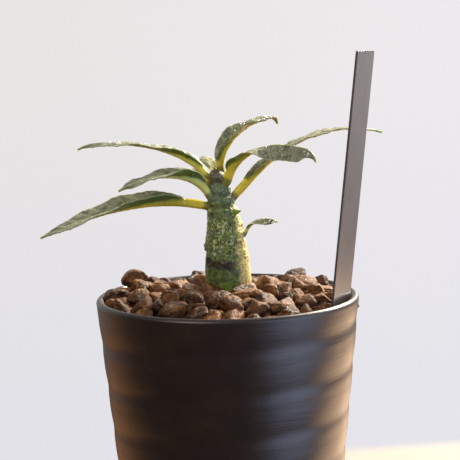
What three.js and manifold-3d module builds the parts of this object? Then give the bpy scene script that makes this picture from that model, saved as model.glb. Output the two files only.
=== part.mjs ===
// Potted caudex succulent: a thick knobbly stem with a crown of arching leaves, standing in
// baked clay granules in a round tapered pot, with a plain plant label inside the rim.
// Millimetres, +Z up. The origin is the centre of the pot's flat foot, the viewer is on -Y,
// and azimuths are degrees counter-clockwise from +X.

import * as THREE from 'three';
import { mergeVertices } from 'three/addons/utils/BufferGeometryUtils.js';
import { ConvexGeometry } from 'three/addons/geometries/ConvexGeometry.js';
import Module from 'manifold-3d';

const wasm = await Module();
wasm.setup();

// Driving dimensions

const gap = 0.3; // clearance between pieces that touch

const pot = {
  height: 92,
  rimRadius: 46,
  footRadius: 37,
  wall: 2.7,
  floor: 4,
  footBevel: 1.5,
  innerFillet: 5,
  ridgePitch: 15, // throwing ridges, the highest one this far below the rim:
  ridgeTop: 12,
  ridgeDepth: 0.45,
  plainBand: 8, // below the rim, where the ridges fade out
  sides: 36,
  drainHoles: 4,
  drainRadius: 4.5,
  drainCircle: 18,
  drainSides: 16,
};

const screen = { radius: 26, thickness: 0.8, pitch: 8.5, bar: 2.2, sides: 32 };

const soil = {
  crest: 3.6, // the granules' tops stand this far above the rim
  heap: 1.6, // rising this much more round the stem
  heapWidth: 9,
  edgeDrop: 5, // and are this much lower at the wall
  edgeWidth: 12,
  backDrop: 2.4, // the loose granules lie this much lower at the back,
  backSlope: [10, 28], // from the first to the second of these distances from the axis
  coreDepth: 3.6, // solid soil starts this far below the granules' tops
  coreRings: [0.85, 0.6, 0.35], // its profile points, as shares of the radius
  headroom: 20, // more than any granule stands above the rim
};

const granule = {
  count: 82,
  smallest: 3.1,
  largest: 4.9,
  sizeCurve: 1.3, // above 1, small granules are the more frequent
  spiral: [0.04, 0.94], // of the soil's area, from the innermost to the outermost
  scatter: 0.5, // random turn along the spiral, radians
  rise: 0.7, // a granule's top lies up to this far above or below the soil's top
  spacing: 0.9, // of two radii, between the centres of granules that touch
  stretch: [0.95, 1.15], // of the radius, along, across and upright
  squeeze: [0.85, 1.05],
  flatness: 0.8,
  tilt: 35,
  passes: 60,
  seed: 20,
};

// Granules that lie in fixed places: x, y, mean radius, and lift above the soil's top
const placedGranules = [
  [-32.5, 13, 4.5, 3.8],
  [-33, 15, 4, 0],
  [-28, 6, 3.1, 0.8],
  [-37.5, 7, 4, 0.9],
  [-38, -4, 4.1, 0.6],
  [-30, -11, 3.3, 0],
  [-27.5, -21.5, 4.3, 0],
  [-24, -4, 3.1, 0],
  [-19.5, -15, 3.3, 0],
  [-18, -4, 3.5, 0.2],
  [-12.5, -18.5, 3.7, 0.5],
  [-18, -30, 4.6, 0],
  [-10, -34.5, 3.3, 0],
  [-12, 15.5, 4.1, 0],
  [-11.5, 28, 3.3, 0.3],
  [-4.5, -11.5, 3.7, 1],
  [-4.5, -18.5, 4.9, 0.5],
  [-4, -36.5, 3.1, 0],
  [2, -30.5, 4.5, 0],
  [4.5, -15, 4, 0.8],
  [11.5, -3, 4.4, 0.6],
  [13, -23.5, 4.9, 0.4],
  [9, -34, 3.7, 0],
  [20, -4.5, 4.6, 0.6],
  [19.5, -18, 3, 0],
  [20.5, -30, 3.7, 0],
  [26, -22, 3.5, 0.2],
  [20.5, 17, 4.3, 0.8],
  [25.5, 24, 4.4, 1.8],
  [29.5, -3, 3.6, 0.4],
  [31.5, -15, 4.3, 0.4],
  [33, 12, 3.3, 0.4],
];

const stem = {
  sides: 18,
  rows: 26,
  rowCurve: 0.75, // below 1, the rows lie closer towards the crown
  lean: 2.8, // the crown stands this far left of the foot
  footShift: 0.4,
  rootTip: 1.5, // length of the points at both ends
  crownTip: 0.8,
  collars: [31.5, 35.5, 39.5], // necks between the yearly joints, above the rim
  collarDepth: 0.3,
  collarWidth: 0.9,
  knobHeight: 0.4,
  knobsFrom: 11, // knobs grow to their full height between these two heights
  knobsTo: 15,
  holeTop: 9,
  seed: 5,
};

// Round scars of fallen leaves, climbing the stem in a spiral
const scar = {
  count: 10,
  lowest: 13,
  highest: 30,
  first: -100,
  turn: 137.5,
  base: 1.2,
  face: 0.8,
  depth: 1.6,
  sunk: 0.3,
  rise: 0.25,
  sides: 8,
};

const bud = { azimuth: -38, foot: 29, radius: 1.1, length: 3.5, out: 0.8, rise: 0.15, sides: 6 };

// Dry scales round the growing tip
const scale = {
  azimuths: [-120, -75, 60, 128, 215],
  foot: 42.7,
  inset: 1.1,
  radius: 0.75,
  length: 4.2,
  spread: 0.35,
  sides: 5,
};

// Stem radius by height above the rim, from the tip of the tap root to the crown
const stemOutline = [
  [-44, 0.8],
  [-30, 2.6],
  [-16, 5.2],
  [-5, 8.0],
  [5, 8.1],
  [16, 7.2],
  [23, 6.1],
  [28, 5.5],
  [33, 4.6],
  [38.5, 3.5],
  [41.5, 3.0],
  [43, 2.2],
  [44, 1.0],
];

// Each leaf leaves the stem's skin at foot (above the rim), setting out at start degrees above
// level. Its arc runs from rise to fall, and bend says how early it turns over. hook turns the
// tip down. Beside the petiole both halves of the blade are lifted by fold, they lie flat at
// flat (a share of the length), and from there they hang, fully by droop at full, or at the tip.
// twist turns the blade about its midrib, and lifts its left side.
const leaves = [
  { name: 'leaf_upper_left', azimuth: 180, foot: 42, start: 30, length: 49, rise: 85, fall: -6.2,
    bend: 0.3, hook: 26, halfWidth: 5.2, petiole: 2, stalk: 1.0, fold: 40, flat: 0.55, droop: 26 },
  { name: 'leaf_back_left', azimuth: 150, foot: 38.5, start: 45, length: 29, rise: 97, fall: -22,
    bend: 0.3, hook: 0, halfWidth: 4.8, petiole: 4, stalk: 0.9, fold: 30, flat: 0.5, droop: 12 },
  { name: 'leaf_front_left', azimuth: 208, foot: 35.6, start: 45, length: 37.5, rise: 110,
    fall: -24, bend: 0.3, hook: 0, halfWidth: 6.2, petiole: 3, stalk: 1.15, fold: 50, flat: 0.75,
    droop: 10 },
  { name: 'leaf_long_left', azimuth: 184, foot: 31.8, start: 10, length: 60, rise: 26, fall: -24,
    bend: 0.42, hook: 0, halfWidth: 6.7, petiole: 7, stalk: 1.25, fold: 52, flat: 0.95, droop: 6,
    twist: -11 },
  { name: 'leaf_top', azimuth: 25, foot: 43.8, start: 92, length: 33.5, rise: 125, fall: 2,
    bend: 0.4, hook: 83, halfWidth: 4.7, petiole: 1.5, stalk: 0.95, fold: 56, flat: 0.9,
    droop: 5 },
  { name: 'leaf_back', azimuth: 105, foot: 40.5, start: 58, length: 27, rise: 62, fall: -25,
    bend: 0.7, hook: 10, halfWidth: 3.6, petiole: 3, stalk: 0.8, fold: 20, flat: 0.2, droop: 45 },
  { name: 'leaf_front_right', azimuth: -35, foot: 40, start: 40, length: 44.5, rise: 125,
    fall: -20, bend: 0.33, hook: 66, halfWidth: 6.8, petiole: 3, stalk: 1.3, fold: 40, flat: 0.3,
    full: 0.72, droop: 50, twist: 6 },
  { name: 'leaf_long_right', azimuth: 8, foot: 34.8, start: 45, length: 61, rise: 47, fall: -19,
    bend: 1.5, hook: 0, halfWidth: 6.2, petiole: 5, stalk: 1.3, fold: 38, flat: 0.42, droop: 4 },
  { name: 'leaf_small_right', azimuth: -10, foot: 21.3, start: 40, length: 15, rise: 98,
    fall: -27, bend: 0.64, hook: 7, halfWidth: 2.8, petiole: 1.5, stalk: 0.6, fold: 30, flat: 0.2,
    full: 0.6, droop: 42 },
];

const blade = {
  thickness: 0.7,
  sink: 1.4, // depth of the leaf's foot in the stem
  rowsPerVein: 2,
  fewestRows: 9,
  bendSteps: 8, // short steps between two rows keep the arc smooth
  setOut: [-1, 2.5], // the stretch over which the foot turns into the arc
  hookFrom: 0.85, // share of the length at which the tip starts to hook
  baseCurve: 0.6, // outline: the share of the length to this power
  tipCurve: 0.5, // times the share left to this power
  margin: 0.25, // least width of the blade beside the rib
  ribTip: 0.3, // the rib's half width and depth at the tip
  ribTaper: 1.2,
  keelTip: 0.05,
  keelTaper: 2,
  keelShare: 1.4, // depth of the petiole below the blade, of its half width
  keelReach: 1.6, // of the rib's half width, where the keel ends
  foldReach: 1.5, // of the rib's half width, where the fold is complete
  veinSpacing: 4.6,
  veinRake: 0.55, // how far a side vein runs forward for each step outward
  puff: 0.35, // height of the blistered blade between the veins
  puffFrom: 3, // full on a blade this much wider than its rib
  edgePuff: 0.3, // share of it left on the rib and at the edge
  twistOver: [0.1, 0.5], // the stretch over which the blade turns, as shares of the length
  waviness: 0.35,
  waveLength: 13,
};

// How far the stem's hole for a leaf's foot reaches, and what it clears the foot by
const socket = { reach: 3.5, clearance: 0.42 };

const label = {
  width: 20,
  length: 120,
  thickness: 0.8,
  azimuth: -21.7,
  distance: 41.6, // outer face from the pot's axis, at the rim
  shift: 0.6,
  lean: 6.5,
  buried: 36,
};

const finishes = {
  pot: { color: 0x1d1614, roughness: 0.35 },
  screen: { color: 0x2b2b2b, roughness: 0.6 },
  soil: { color: 0x6b4430, roughness: 0.95 },
  stem: { color: 0x4a6340, roughness: 0.6 },
  leaf: { color: 0x4f6b3c, roughness: 0.5 },
  label: { color: 0x3d3330, roughness: 0.4 },
};

// Helpers

const degrees = Math.PI / 180;
const rim = pot.height;
const weld = 1e-4; // vertices closer than this are one

function seeded(seed) {
  let state = seed >>> 0;
  return () => {
    state = (Math.imul(state, 1664525) + 1013904223) >>> 0;
    return state / 4294967296;
  };
}

function mix(a, b, share) {
  return a + (b - a) * share;
}

function smooth(low, high, value) {
  const t = THREE.MathUtils.clamp((value - low) / (high - low), 0, 1);
  return t * t * (3 - 2 * t);
}

// A copy with places and faces only, so that vertices at one place can be merged
function bare(geometry) {
  const copy = new THREE.BufferGeometry();
  copy.setAttribute('position', geometry.getAttribute('position'));
  copy.setIndex(geometry.getIndex());
  return copy;
}

function solid(geometry) {
  const merged = mergeVertices(bare(geometry), weld);
  const corners = merged.getIndex().array;
  const kept = [];
  for (let i = 0; i < corners.length; i += 3) {
    const [a, b, c] = [corners[i], corners[i + 1], corners[i + 2]];
    if (a !== b && b !== c && c !== a) kept.push(a, b, c);
  }
  const mesh = new wasm.Mesh({
    numProp: 3,
    vertProperties: new Float32Array(merged.getAttribute('position').array),
    triVerts: new Uint32Array(kept),
  });
  return new wasm.Manifold(mesh);
}

function shell(manifold) {
  const mesh = manifold.getMesh();
  const geometry = new THREE.BufferGeometry();
  geometry.setAttribute('position', new THREE.BufferAttribute(mesh.vertProperties, 3));
  geometry.setIndex(new THREE.BufferAttribute(mesh.triVerts, 1));
  geometry.computeVertexNormals();
  return geometry;
}

function join(solids) {
  let queue = solids;
  while (queue.length > 1) {
    const next = [];
    for (let i = 0; i < queue.length; i += 2) {
      next.push(i + 1 < queue.length ? queue[i].add(queue[i + 1]) : queue[i]);
    }
    queue = next;
  }
  return queue[0];
}

// A profile of [radius, height] points turned about Z
function turned(profile, sides) {
  const points = profile.map(([radius, height]) => new THREE.Vector2(radius, height));
  const geometry = new THREE.LatheGeometry(points, sides);
  geometry.rotateX(Math.PI / 2);
  return geometry;
}

function moveVertices(geometry, move) {
  const position = geometry.getAttribute('position');
  const point = new THREE.Vector3();
  for (let i = 0; i < position.count; i += 1) {
    point.fromBufferAttribute(position, i);
    move(point);
    position.setXYZ(i, point.x, point.y, point.z);
  }
  return geometry;
}

// Turns the axis of a cone or cylinder to a direction and moves it to a place
function aimed(geometry, place, direction) {
  const axis = new THREE.Vector3(0, 1, 0);
  const turn = new THREE.Quaternion().setFromUnitVectors(axis, direction.clone().normalize());
  geometry.applyQuaternion(turn);
  geometry.translate(place.x, place.y, place.z);
  return geometry;
}

function polar(azimuth, radius, height) {
  const angle = azimuth * degrees;
  return new THREE.Vector3(radius * Math.cos(angle), radius * Math.sin(angle), height);
}

// Pot

function wallRadius(height) {
  return mix(pot.footRadius, pot.rimRadius, height / pot.height);
}

function cavityRadius(height) {
  return wallRadius(height) - pot.wall;
}

function potProfile() {
  const lip = pot.wall / 2;
  const profile = [
    [0, 0],
    [pot.footRadius - pot.footBevel, 0],
  ];
  const step = pot.ridgePitch / 4;
  const rows = Math.round((pot.height - lip - pot.footBevel) / step);
  for (let i = 0; i <= rows; i += 1) {
    const height = mix(pot.footBevel, pot.height - lip, i / rows);
    const phase = (2 * Math.PI * (pot.height - pot.ridgeTop - height)) / pot.ridgePitch;
    const fade = smooth(0, pot.plainBand, pot.height - height);
    const hollow = (pot.ridgeDepth * fade * (1 - Math.cos(phase))) / 2;
    profile.push([wallRadius(height) - hollow, height]);
  }
  const lipCentre = wallRadius(pot.height - lip) - lip;
  for (const angle of [45, 90, 135, 180]) {
    const height = pot.height - lip + lip * Math.sin(angle * degrees);
    profile.push([lipCentre + lip * Math.cos(angle * degrees), height]);
  }
  for (const angle of [0, 45, 90]) {
    const height = pot.floor + pot.innerFillet * (1 - Math.sin(angle * degrees));
    const inset = pot.innerFillet * (1 - Math.cos(angle * degrees));
    profile.push([cavityRadius(height) - inset, height]);
  }
  profile.push([0, pot.floor]);
  return profile;
}

function makePot() {
  const holes = [];
  const { drainRadius: radius, drainSides: sides } = pot;
  for (let i = 0; i < pot.drainHoles; i += 1) {
    const geometry = new THREE.CylinderGeometry(radius, radius, 3 * pot.floor, sides);
    geometry.rotateX(Math.PI / 2);
    const place = polar((360 / pot.drainHoles) * (i + 0.5), pot.drainCircle, 0);
    geometry.translate(place.x, place.y, 0);
    holes.push(solid(geometry));
  }
  return shell(solid(turned(potProfile(), pot.sides)).subtract(join(holes)));
}

// Net disc that keeps the granules out of the drain holes

function makeScreen() {
  const half = (screen.pitch - screen.bar) / 2;
  const reach = Math.floor(screen.radius / screen.pitch);
  const holes = [];
  for (let i = -reach; i <= reach; i += 1) {
    for (let j = -reach; j <= reach; j += 1) {
      const [x, y] = [i * screen.pitch, j * screen.pitch];
      if (Math.hypot(Math.abs(x) + half, Math.abs(y) + half) > screen.radius - screen.bar) continue;
      const hole = new THREE.BoxGeometry(2 * half, 2 * half, 4 * screen.thickness);
      hole.translate(x, y, 0);
      holes.push(solid(hole));
    }
  }
  const { radius, thickness, sides } = screen;
  const disc = new THREE.CylinderGeometry(radius, radius, thickness, sides);
  disc.rotateX(Math.PI / 2);
  const geometry = shell(solid(disc).subtract(join(holes)));
  geometry.translate(0, 0, pot.floor + gap + thickness / 2);
  return geometry;
}

// Soil: a core with the top layer of granules sunk into it

function soilTop(radius) {
  const wall = cavityRadius(rim);
  const foot = stemRadius(0);
  const heap = soil.heap * (1 - smooth(foot, foot + soil.heapWidth, radius));
  return rim + soil.crest + heap - soil.edgeDrop * smooth(wall - soil.edgeWidth, wall, radius);
}

function soilCore() {
  const bottom = pot.floor + screen.thickness + 2 * gap;
  const low = bottom + pot.innerFillet;
  const wall = cavityRadius(rim) - gap;
  const edge = soilTop(wall) - soil.coreDepth;
  const profile = [
    [0, bottom],
    [cavityRadius(bottom) - pot.innerFillet - gap, bottom],
    [cavityRadius(low) - gap, low],
    [cavityRadius(edge) - gap, edge],
  ];
  for (const share of soil.coreRings) {
    profile.push([wall * share, soilTop(wall * share) - soil.coreDepth]);
  }
  profile.push([0, soilTop(0) - soil.coreDepth]);
  return solid(turned(profile, pot.sides));
}

// The other granules start on a sunflower spiral, and are pushed apart until they just touch,
// clear of the wall, the stem and the label. The placed ones are held where they are.
function placeGranules() {
  const random = seeded(granule.seed);
  const wall = cavityRadius(rim) - gap;
  const goldenAngle = Math.PI * (3 - Math.sqrt(5));
  const spots = placedGranules.map(([x, y, size, lift]) => ({ x, y, size, lift, held: true }));
  for (let i = 0; i < granule.count; i += 1) {
    const radius = wall * Math.sqrt(mix(...granule.spiral, (i + 0.5) / granule.count));
    const angle = i * goldenAngle + granule.scatter * random();
    spots.push({
      x: radius * Math.cos(angle),
      y: radius * Math.sin(angle),
      size: mix(granule.smallest, granule.largest, random() ** granule.sizeCurve),
      lift: granule.rise * (2 * random() - 1),
      held: false,
    });
  }
  for (let pass = 0; pass < granule.passes; pass += 1) {
    for (const spot of spots.filter(({ held }) => !held)) {
      for (const other of spots) {
        pushApart(spot, other);
      }
      keepInside(spot, wall);
    }
  }
  return spots;
}

function pushApart(spot, other) {
  const [dx, dy] = [other.x - spot.x, other.y - spot.y];
  const distance = Math.hypot(dx, dy);
  const overlap = granule.spacing * (spot.size + other.size) - distance;
  if (spot === other || overlap <= 0) return;
  const push = overlap / distance;
  const own = other.held ? 1 : 0.5;
  spot.x -= dx * push * own;
  spot.y -= dy * push * own;
  other.x += dx * push * (1 - own);
  other.y += dy * push * (1 - own);
}

function keepInside(spot, wall) {
  const radius = Math.hypot(spot.x, spot.y);
  const reach = granule.squeeze[0] * spot.size;
  const kept = THREE.MathUtils.clamp(radius, stemRadius(0) + reach, wall - spot.size) / radius;
  spot.x *= kept;
  spot.y *= kept;
  const { x: labelX, y: labelY } = polar(label.azimuth, 1, 0);
  const across = spot.x * labelX + spot.y * labelY;
  const along = spot.y * labelX - spot.x * labelY;
  const excess = across + reach - (label.distance - label.thickness);
  if (Math.abs(along) < label.width / 2 + spot.size && excess > 0) {
    spot.x -= excess * labelX;
    spot.y -= excess * labelY;
  }
}

function makeSoil() {
  const random = seeded(granule.seed + 1);
  const tilted = () => granule.tilt * (2 * random() - 1) * degrees;
  const solids = [soilCore()];
  for (const { x, y, size, lift, held } of placeGranules()) {
    const geometry = new THREE.IcosahedronGeometry(size, 0);
    const [stretch, squeeze] = [mix(...granule.stretch, random()), mix(...granule.squeeze, random())];
    geometry.scale(stretch, squeeze, granule.flatness);
    geometry.rotateX(tilted());
    geometry.rotateY(tilted());
    geometry.rotateZ(random() * 360 * degrees);
    const drop = held ? 0 : soil.backDrop * smooth(...soil.backSlope, y);
    const top = soilTop(Math.hypot(x, y)) + lift - drop;
    geometry.translate(x, y, top - granule.flatness * size);
    solids.push(solid(geometry));
  }
  const holes = join([stemHole(), labelSlot()]);
  return shell(largest(join(solids).intersect(cavity()).subtract(holes)));
}

// The space inside the pot, up to well above the rim
function cavity() {
  const [low, high] = [pot.floor, rim + soil.headroom];
  const profile = [
    [0, low],
    [cavityRadius(low) - gap, low],
    [cavityRadius(rim) - gap, rim],
    [cavityRadius(rim) - gap, high],
    [0, high],
  ];
  return solid(turned(profile, pot.sides));
}

function largest(manifold) {
  const pieces = manifold.decompose();
  return pieces.reduce((best, piece) => (piece.volume() > best.volume() ? piece : best));
}

// Stem and tap root

const stemCurve = new THREE.SplineCurve(
  stemOutline.map(([height, radius]) => new THREE.Vector2(height, radius)),
);
const stemSamples = stemCurve.getPoints(120);

function stemRadius(height) {
  const next = stemSamples.findIndex((point) => point.x >= height);
  if (next <= 0) return next === 0 ? stemSamples[0].y : stemSamples.at(-1).y;
  const [a, b] = [stemSamples[next - 1], stemSamples[next]];
  return mix(a.y, b.y, (height - a.x) / (b.x - a.x));
}

function stemShift(height) {
  const climbed = Math.max(height, 0) / stemOutline.at(-1)[0];
  return stem.footShift - (stem.footShift + stem.lean) * climbed ** 2;
}

// A point on the stem's skin, height measured from the rim
function onStem(azimuth, height, depth = 0) {
  const place = polar(azimuth, stemRadius(height) - depth, rim + height);
  place.x += stemShift(height);
  return place;
}

function stemBody(margin, knobs) {
  const [low, high] = [stemOutline[0][0], stemOutline.at(-1)[0]];
  const profile = [[0, low - stem.rootTip - 2 * margin]];
  for (let i = 0; i <= stem.rows; i += 1) {
    const height = mix(low, high, (i / stem.rows) ** stem.rowCurve);
    let radius = stemRadius(height) + margin;
    for (const collar of stem.collars) {
      radius -= stem.collarDepth * Math.exp(-(((height - collar) / stem.collarWidth) ** 2));
    }
    profile.push([radius, height]);
  }
  profile.push([0, high + stem.crownTip + margin]);
  const geometry = mergeVertices(bare(turned(profile, stem.sides)), weld);
  const random = seeded(stem.seed);
  moveVertices(geometry, (point) => {
    const height = point.z;
    const reach = Math.hypot(point.x, point.y);
    const knob = knobs * (random() - 0.3) * smooth(stem.knobsFrom, stem.knobsTo, height);
    const swell = reach > weld ? (reach + knob) / reach : 1;
    point.set(point.x * swell + stemShift(height), point.y * swell, rim + height);
  });
  return solid(geometry);
}

// The plain hole that the stem stands in: a cube round its foot cuts off what is above
function stemHole() {
  const cube = new THREE.BoxGeometry(rim, rim, rim);
  cube.translate(0, 0, rim + stem.holeTop - rim / 2);
  return stemBody(gap, 0).intersect(solid(cube));
}

function leafScars() {
  const scars = [];
  for (let i = 0; i < scar.count; i += 1) {
    const height = mix(scar.lowest, scar.highest, i / (scar.count - 1));
    const azimuth = scar.first + i * scar.turn;
    const geometry = new THREE.CylinderGeometry(scar.face, scar.base, scar.depth, scar.sides);
    const place = onStem(azimuth, height, scar.sunk);
    scars.push(solid(aimed(geometry, place, polar(azimuth, 1, scar.rise))));
  }
  return scars;
}

function leafBud() {
  const geometry = new THREE.ConeGeometry(bud.radius, bud.length, bud.sides);
  const place = onStem(bud.azimuth, bud.foot, -bud.out);
  return solid(aimed(geometry, place, polar(bud.azimuth, 1, bud.rise)));
}

function crownScales() {
  return scale.azimuths.map((azimuth) => {
    const geometry = new THREE.ConeGeometry(scale.radius, scale.length, scale.sides);
    const place = onStem(azimuth, scale.foot, scale.inset);
    return solid(aimed(geometry, place, polar(azimuth, scale.spread, 1)));
  });
}

function makeStem() {
  const body = [stemBody(0, stem.knobHeight), ...leafScars(), leafBud(), ...crownScales()];
  return shell(largest(join(body).subtract(join(leaves.map(leafSocket)))));
}

// Leaves

// Midrib stations from the buried foot to the tip, each with its frame
function leafStations(leaf, rows) {
  const total = leaf.length + blade.sink;
  const side = polar(leaf.azimuth + 90, 1, 0);
  const place = onStem(leaf.azimuth, leaf.foot);
  place.addScaledVector(leafDirection(leaf, -blade.sink), -blade.sink);
  const stride = total / rows / blade.bendSteps;
  const stations = [];
  for (let i = 0; i <= rows; i += 1) {
    const along = (i / rows) * total - blade.sink;
    const forward = leafDirection(leaf, along);
    const up = new THREE.Vector3().crossVectors(forward, side);
    stations.push({ along, place: place.clone(), forward, side, up });
    for (let step = 0.5; step < blade.bendSteps; step += 1) {
      place.addScaledVector(leafDirection(leaf, along + step * stride), stride);
    }
  }
  return stations;
}

function lengthShare(leaf, along) {
  return Math.max(along / leaf.length, 0);
}

function leafDirection(leaf, along) {
  const share = lengthShare(leaf, along);
  const hooked = THREE.MathUtils.clamp((share - blade.hookFrom) / (1 - blade.hookFrom), 0, 1);
  const arc = mix(leaf.rise, leaf.fall, share ** leaf.bend) - leaf.hook * hooked;
  const pitch = mix(leaf.start, arc, smooth(...blade.setOut, along)) * degrees;
  return polar(leaf.azimuth, Math.cos(pitch), Math.sin(pitch));
}

function ribHalfWidth(leaf, share) {
  return mix(blade.ribTip, leaf.stalk, (1 - share) ** blade.ribTaper);
}

function ribDepth(leaf, share) {
  return mix(blade.keelTip, blade.keelShare * leaf.stalk, (1 - share) ** blade.keelTaper);
}

// Lance-shaped outline, widest where its slope is zero, and at least a margin beside the rib
function bladeHalfWidth(leaf, along, rib) {
  const open = THREE.MathUtils.clamp((along - leaf.petiole) / (leaf.length - leaf.petiole), 0, 1);
  const outline = (share) => share ** blade.baseCurve * (1 - share) ** blade.tipCurve;
  const widest = blade.baseCurve / (blade.baseCurve + blade.tipCurve);
  return Math.max((outline(open) / outline(widest)) * leaf.halfWidth, rib + blade.margin);
}

// Top and bottom skins of one leaf across the midrib, as rows of points
function leafSkins(leaf, stations) {
  const top = [];
  const bottom = [];
  const { full = 1, twist = 0 } = leaf;
  for (const { along, place, side: level, up: upright } of stations) {
    const share = lengthShare(leaf, along);
    const turn = twist * smooth(...blade.twistOver, share) * degrees;
    const side = level.clone().multiplyScalar(Math.cos(turn));
    side.addScaledVector(upright, Math.sin(turn));
    const up = upright.clone().multiplyScalar(Math.cos(turn));
    up.addScaledVector(level, -Math.sin(turn));
    const rib = ribHalfWidth(leaf, share);
    const keel = ribDepth(leaf, share);
    const outer = bladeHalfWidth(leaf, along, rib);
    const middle = (outer + rib) / 2;
    const lifted = leaf.fold * (1 - smooth(0, leaf.flat, share));
    const fold = (lifted - leaf.droop * smooth(leaf.flat, full, share)) * degrees;
    const topRow = [];
    const bottomRow = [];
    for (const reach of [-outer, -middle, -rib, 0, rib, middle, outer]) {
      const far = Math.abs(reach);
      const flank = Math.sign(reach);
      const blister = blade.puff * smooth(0, blade.puffFrom, outer - rib)
        * (far === middle ? 1 : blade.edgePuff);
      const vein = (along - blade.veinRake * far) / blade.veinSpacing;
      const puff = blister * Math.abs(Math.sin(Math.PI * vein));
      const ripple = Math.sin((2 * Math.PI * along) / blade.waveLength + flank);
      const wave = blade.waviness * (far / leaf.halfWidth) ** 2 * ripple;
      const slope = fold * Math.min(far / (blade.foldReach * rib), 1);
      const point = place.clone()
        .addScaledVector(side, reach * Math.cos(slope))
        .addScaledVector(up, far * Math.sin(slope) + puff + wave);
      const out = up.clone().multiplyScalar(Math.cos(slope))
        .addScaledVector(side, -flank * Math.sin(slope));
      const keeled = keel * Math.max(1 - (far / (blade.keelReach * rib)) ** 2, 0);
      topRow.push(point);
      bottomRow.push(point.clone().addScaledVector(out, -blade.thickness - keeled));
    }
    top.push(topRow);
    bottom.push(bottomRow);
  }
  return { top, bottom };
}

// A closed body between two equal grids, split alike on both faces
function sheetSolid(top, bottom) {
  const [rows, columns] = [top.length, top[0].length];
  const corners = [...top.flat(), ...bottom.flat()];
  const upper = (i, j) => i * columns + j;
  const lower = (i, j) => (rows + i) * columns + j;
  const index = [];
  for (let i = 0; i < rows - 1; i += 1) {
    for (let j = 0; j < columns - 1; j += 1) {
      index.push(upper(i, j), upper(i + 1, j), upper(i + 1, j + 1));
      index.push(upper(i, j), upper(i + 1, j + 1), upper(i, j + 1));
      index.push(lower(i, j), lower(i + 1, j + 1), lower(i + 1, j));
      index.push(lower(i, j), lower(i, j + 1), lower(i + 1, j + 1));
    }
    const last = columns - 1;
    index.push(upper(i + 1, 0), upper(i, 0), lower(i, 0));
    index.push(upper(i + 1, 0), lower(i, 0), lower(i + 1, 0));
    index.push(upper(i, last), upper(i + 1, last), lower(i + 1, last));
    index.push(upper(i, last), lower(i + 1, last), lower(i, last));
  }
  for (let j = 0; j < columns - 1; j += 1) {
    const end = rows - 1;
    index.push(upper(0, j), upper(0, j + 1), lower(0, j + 1));
    index.push(upper(0, j), lower(0, j + 1), lower(0, j));
    index.push(upper(end, j + 1), upper(end, j), lower(end, j));
    index.push(upper(end, j + 1), lower(end, j), lower(end, j + 1));
  }
  const geometry = new THREE.BufferGeometry();
  geometry.setFromPoints(corners);
  geometry.setIndex(index);
  return geometry;
}

function makeLeaf(leaf) {
  const rows = Math.round((blade.rowsPerVein * leaf.length) / blade.veinSpacing);
  const stations = leafStations(leaf, Math.max(blade.fewestRows, rows));
  const { top, bottom } = leafSkins(leaf, stations);
  return shell(solid(sheetSolid(top, bottom)));
}

// The hole in the stem for a leaf's foot: the hull of its first stretch, grown by the clearance
function leafSocket(leaf) {
  const rows = Math.round((leaf.length + blade.sink) / blade.sink);
  const stations = leafStations(leaf, rows).filter(({ along }) => along < socket.reach);
  const { top, bottom } = leafSkins(leaf, stations);
  const points = [];
  stations.forEach(({ forward }, i) => {
    const ring = [...top[i], ...bottom[i]];
    const centre = new THREE.Vector3();
    ring.forEach((point) => centre.addScaledVector(point, 1 / ring.length));
    for (const point of ring) {
      const out = point.clone().sub(centre).normalize();
      const grown = point.clone().addScaledVector(out, socket.clearance);
      if (i === 0) grown.addScaledVector(forward, -gap);
      points.push(grown);
    }
  });
  return solid(new ConvexGeometry(points));
}

// Plant label, leaning outward along the pot's wall

function labelPlate(margin) {
  const geometry = new THREE.BoxGeometry(
    label.thickness + 2 * margin,
    label.width + 2 * margin,
    label.length + 2 * margin,
  );
  geometry.translate(-label.thickness / 2, label.shift, label.length / 2 - label.buried);
  geometry.rotateY(label.lean * degrees);
  geometry.translate(label.distance, 0, rim);
  geometry.rotateZ(label.azimuth * degrees);
  return geometry;
}

function labelSlot() {
  return solid(labelPlate(gap));
}

// Assembly

function piece(name, geometry, finish) {
  const mesh = new THREE.Mesh(geometry, new THREE.MeshStandardMaterial(finish));
  mesh.name = name;
  return mesh;
}

const group = new THREE.Group();
group.add(piece('pot', makePot(), finishes.pot));
group.add(piece('drain_screen', makeScreen(), finishes.screen));
group.add(piece('soil', makeSoil(), finishes.soil));
group.add(piece('stem', makeStem(), finishes.stem));
for (const leaf of leaves) {
  group.add(piece(leaf.name, makeLeaf(leaf), finishes.leaf));
}
group.add(piece('plant_label', labelPlate(0), finishes.label));

export default group;
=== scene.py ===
# Potted caudex succulent: a knobbly green stem with a crown of arching leaves, in baked clay
# granules in a dark stoneware pot, with a plain plant label inside the rim.
# Shapes are worked out in millimetres, +Z up, with the origin at the centre of the pot's foot
# and the viewer on -Y. Azimuths are degrees counter-clockwise from +X, and a mesh is in metres.

import math

import bmesh
import bpy
import numpy as np
from mathutils import Matrix, Vector


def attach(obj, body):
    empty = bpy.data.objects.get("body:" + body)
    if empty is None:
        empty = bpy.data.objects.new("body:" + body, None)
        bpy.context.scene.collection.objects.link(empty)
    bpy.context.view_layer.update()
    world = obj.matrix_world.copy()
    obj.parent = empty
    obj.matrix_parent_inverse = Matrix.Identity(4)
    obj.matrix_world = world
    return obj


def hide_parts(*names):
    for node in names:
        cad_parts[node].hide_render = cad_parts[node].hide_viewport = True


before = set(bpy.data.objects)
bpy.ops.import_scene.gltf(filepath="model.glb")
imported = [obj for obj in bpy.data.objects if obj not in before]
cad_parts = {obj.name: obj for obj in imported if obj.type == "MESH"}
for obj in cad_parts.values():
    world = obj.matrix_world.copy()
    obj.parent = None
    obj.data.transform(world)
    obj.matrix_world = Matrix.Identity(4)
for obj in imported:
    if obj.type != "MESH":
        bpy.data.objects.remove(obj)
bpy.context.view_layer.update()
print("frame loaded:", len(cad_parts), "nodes")

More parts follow.
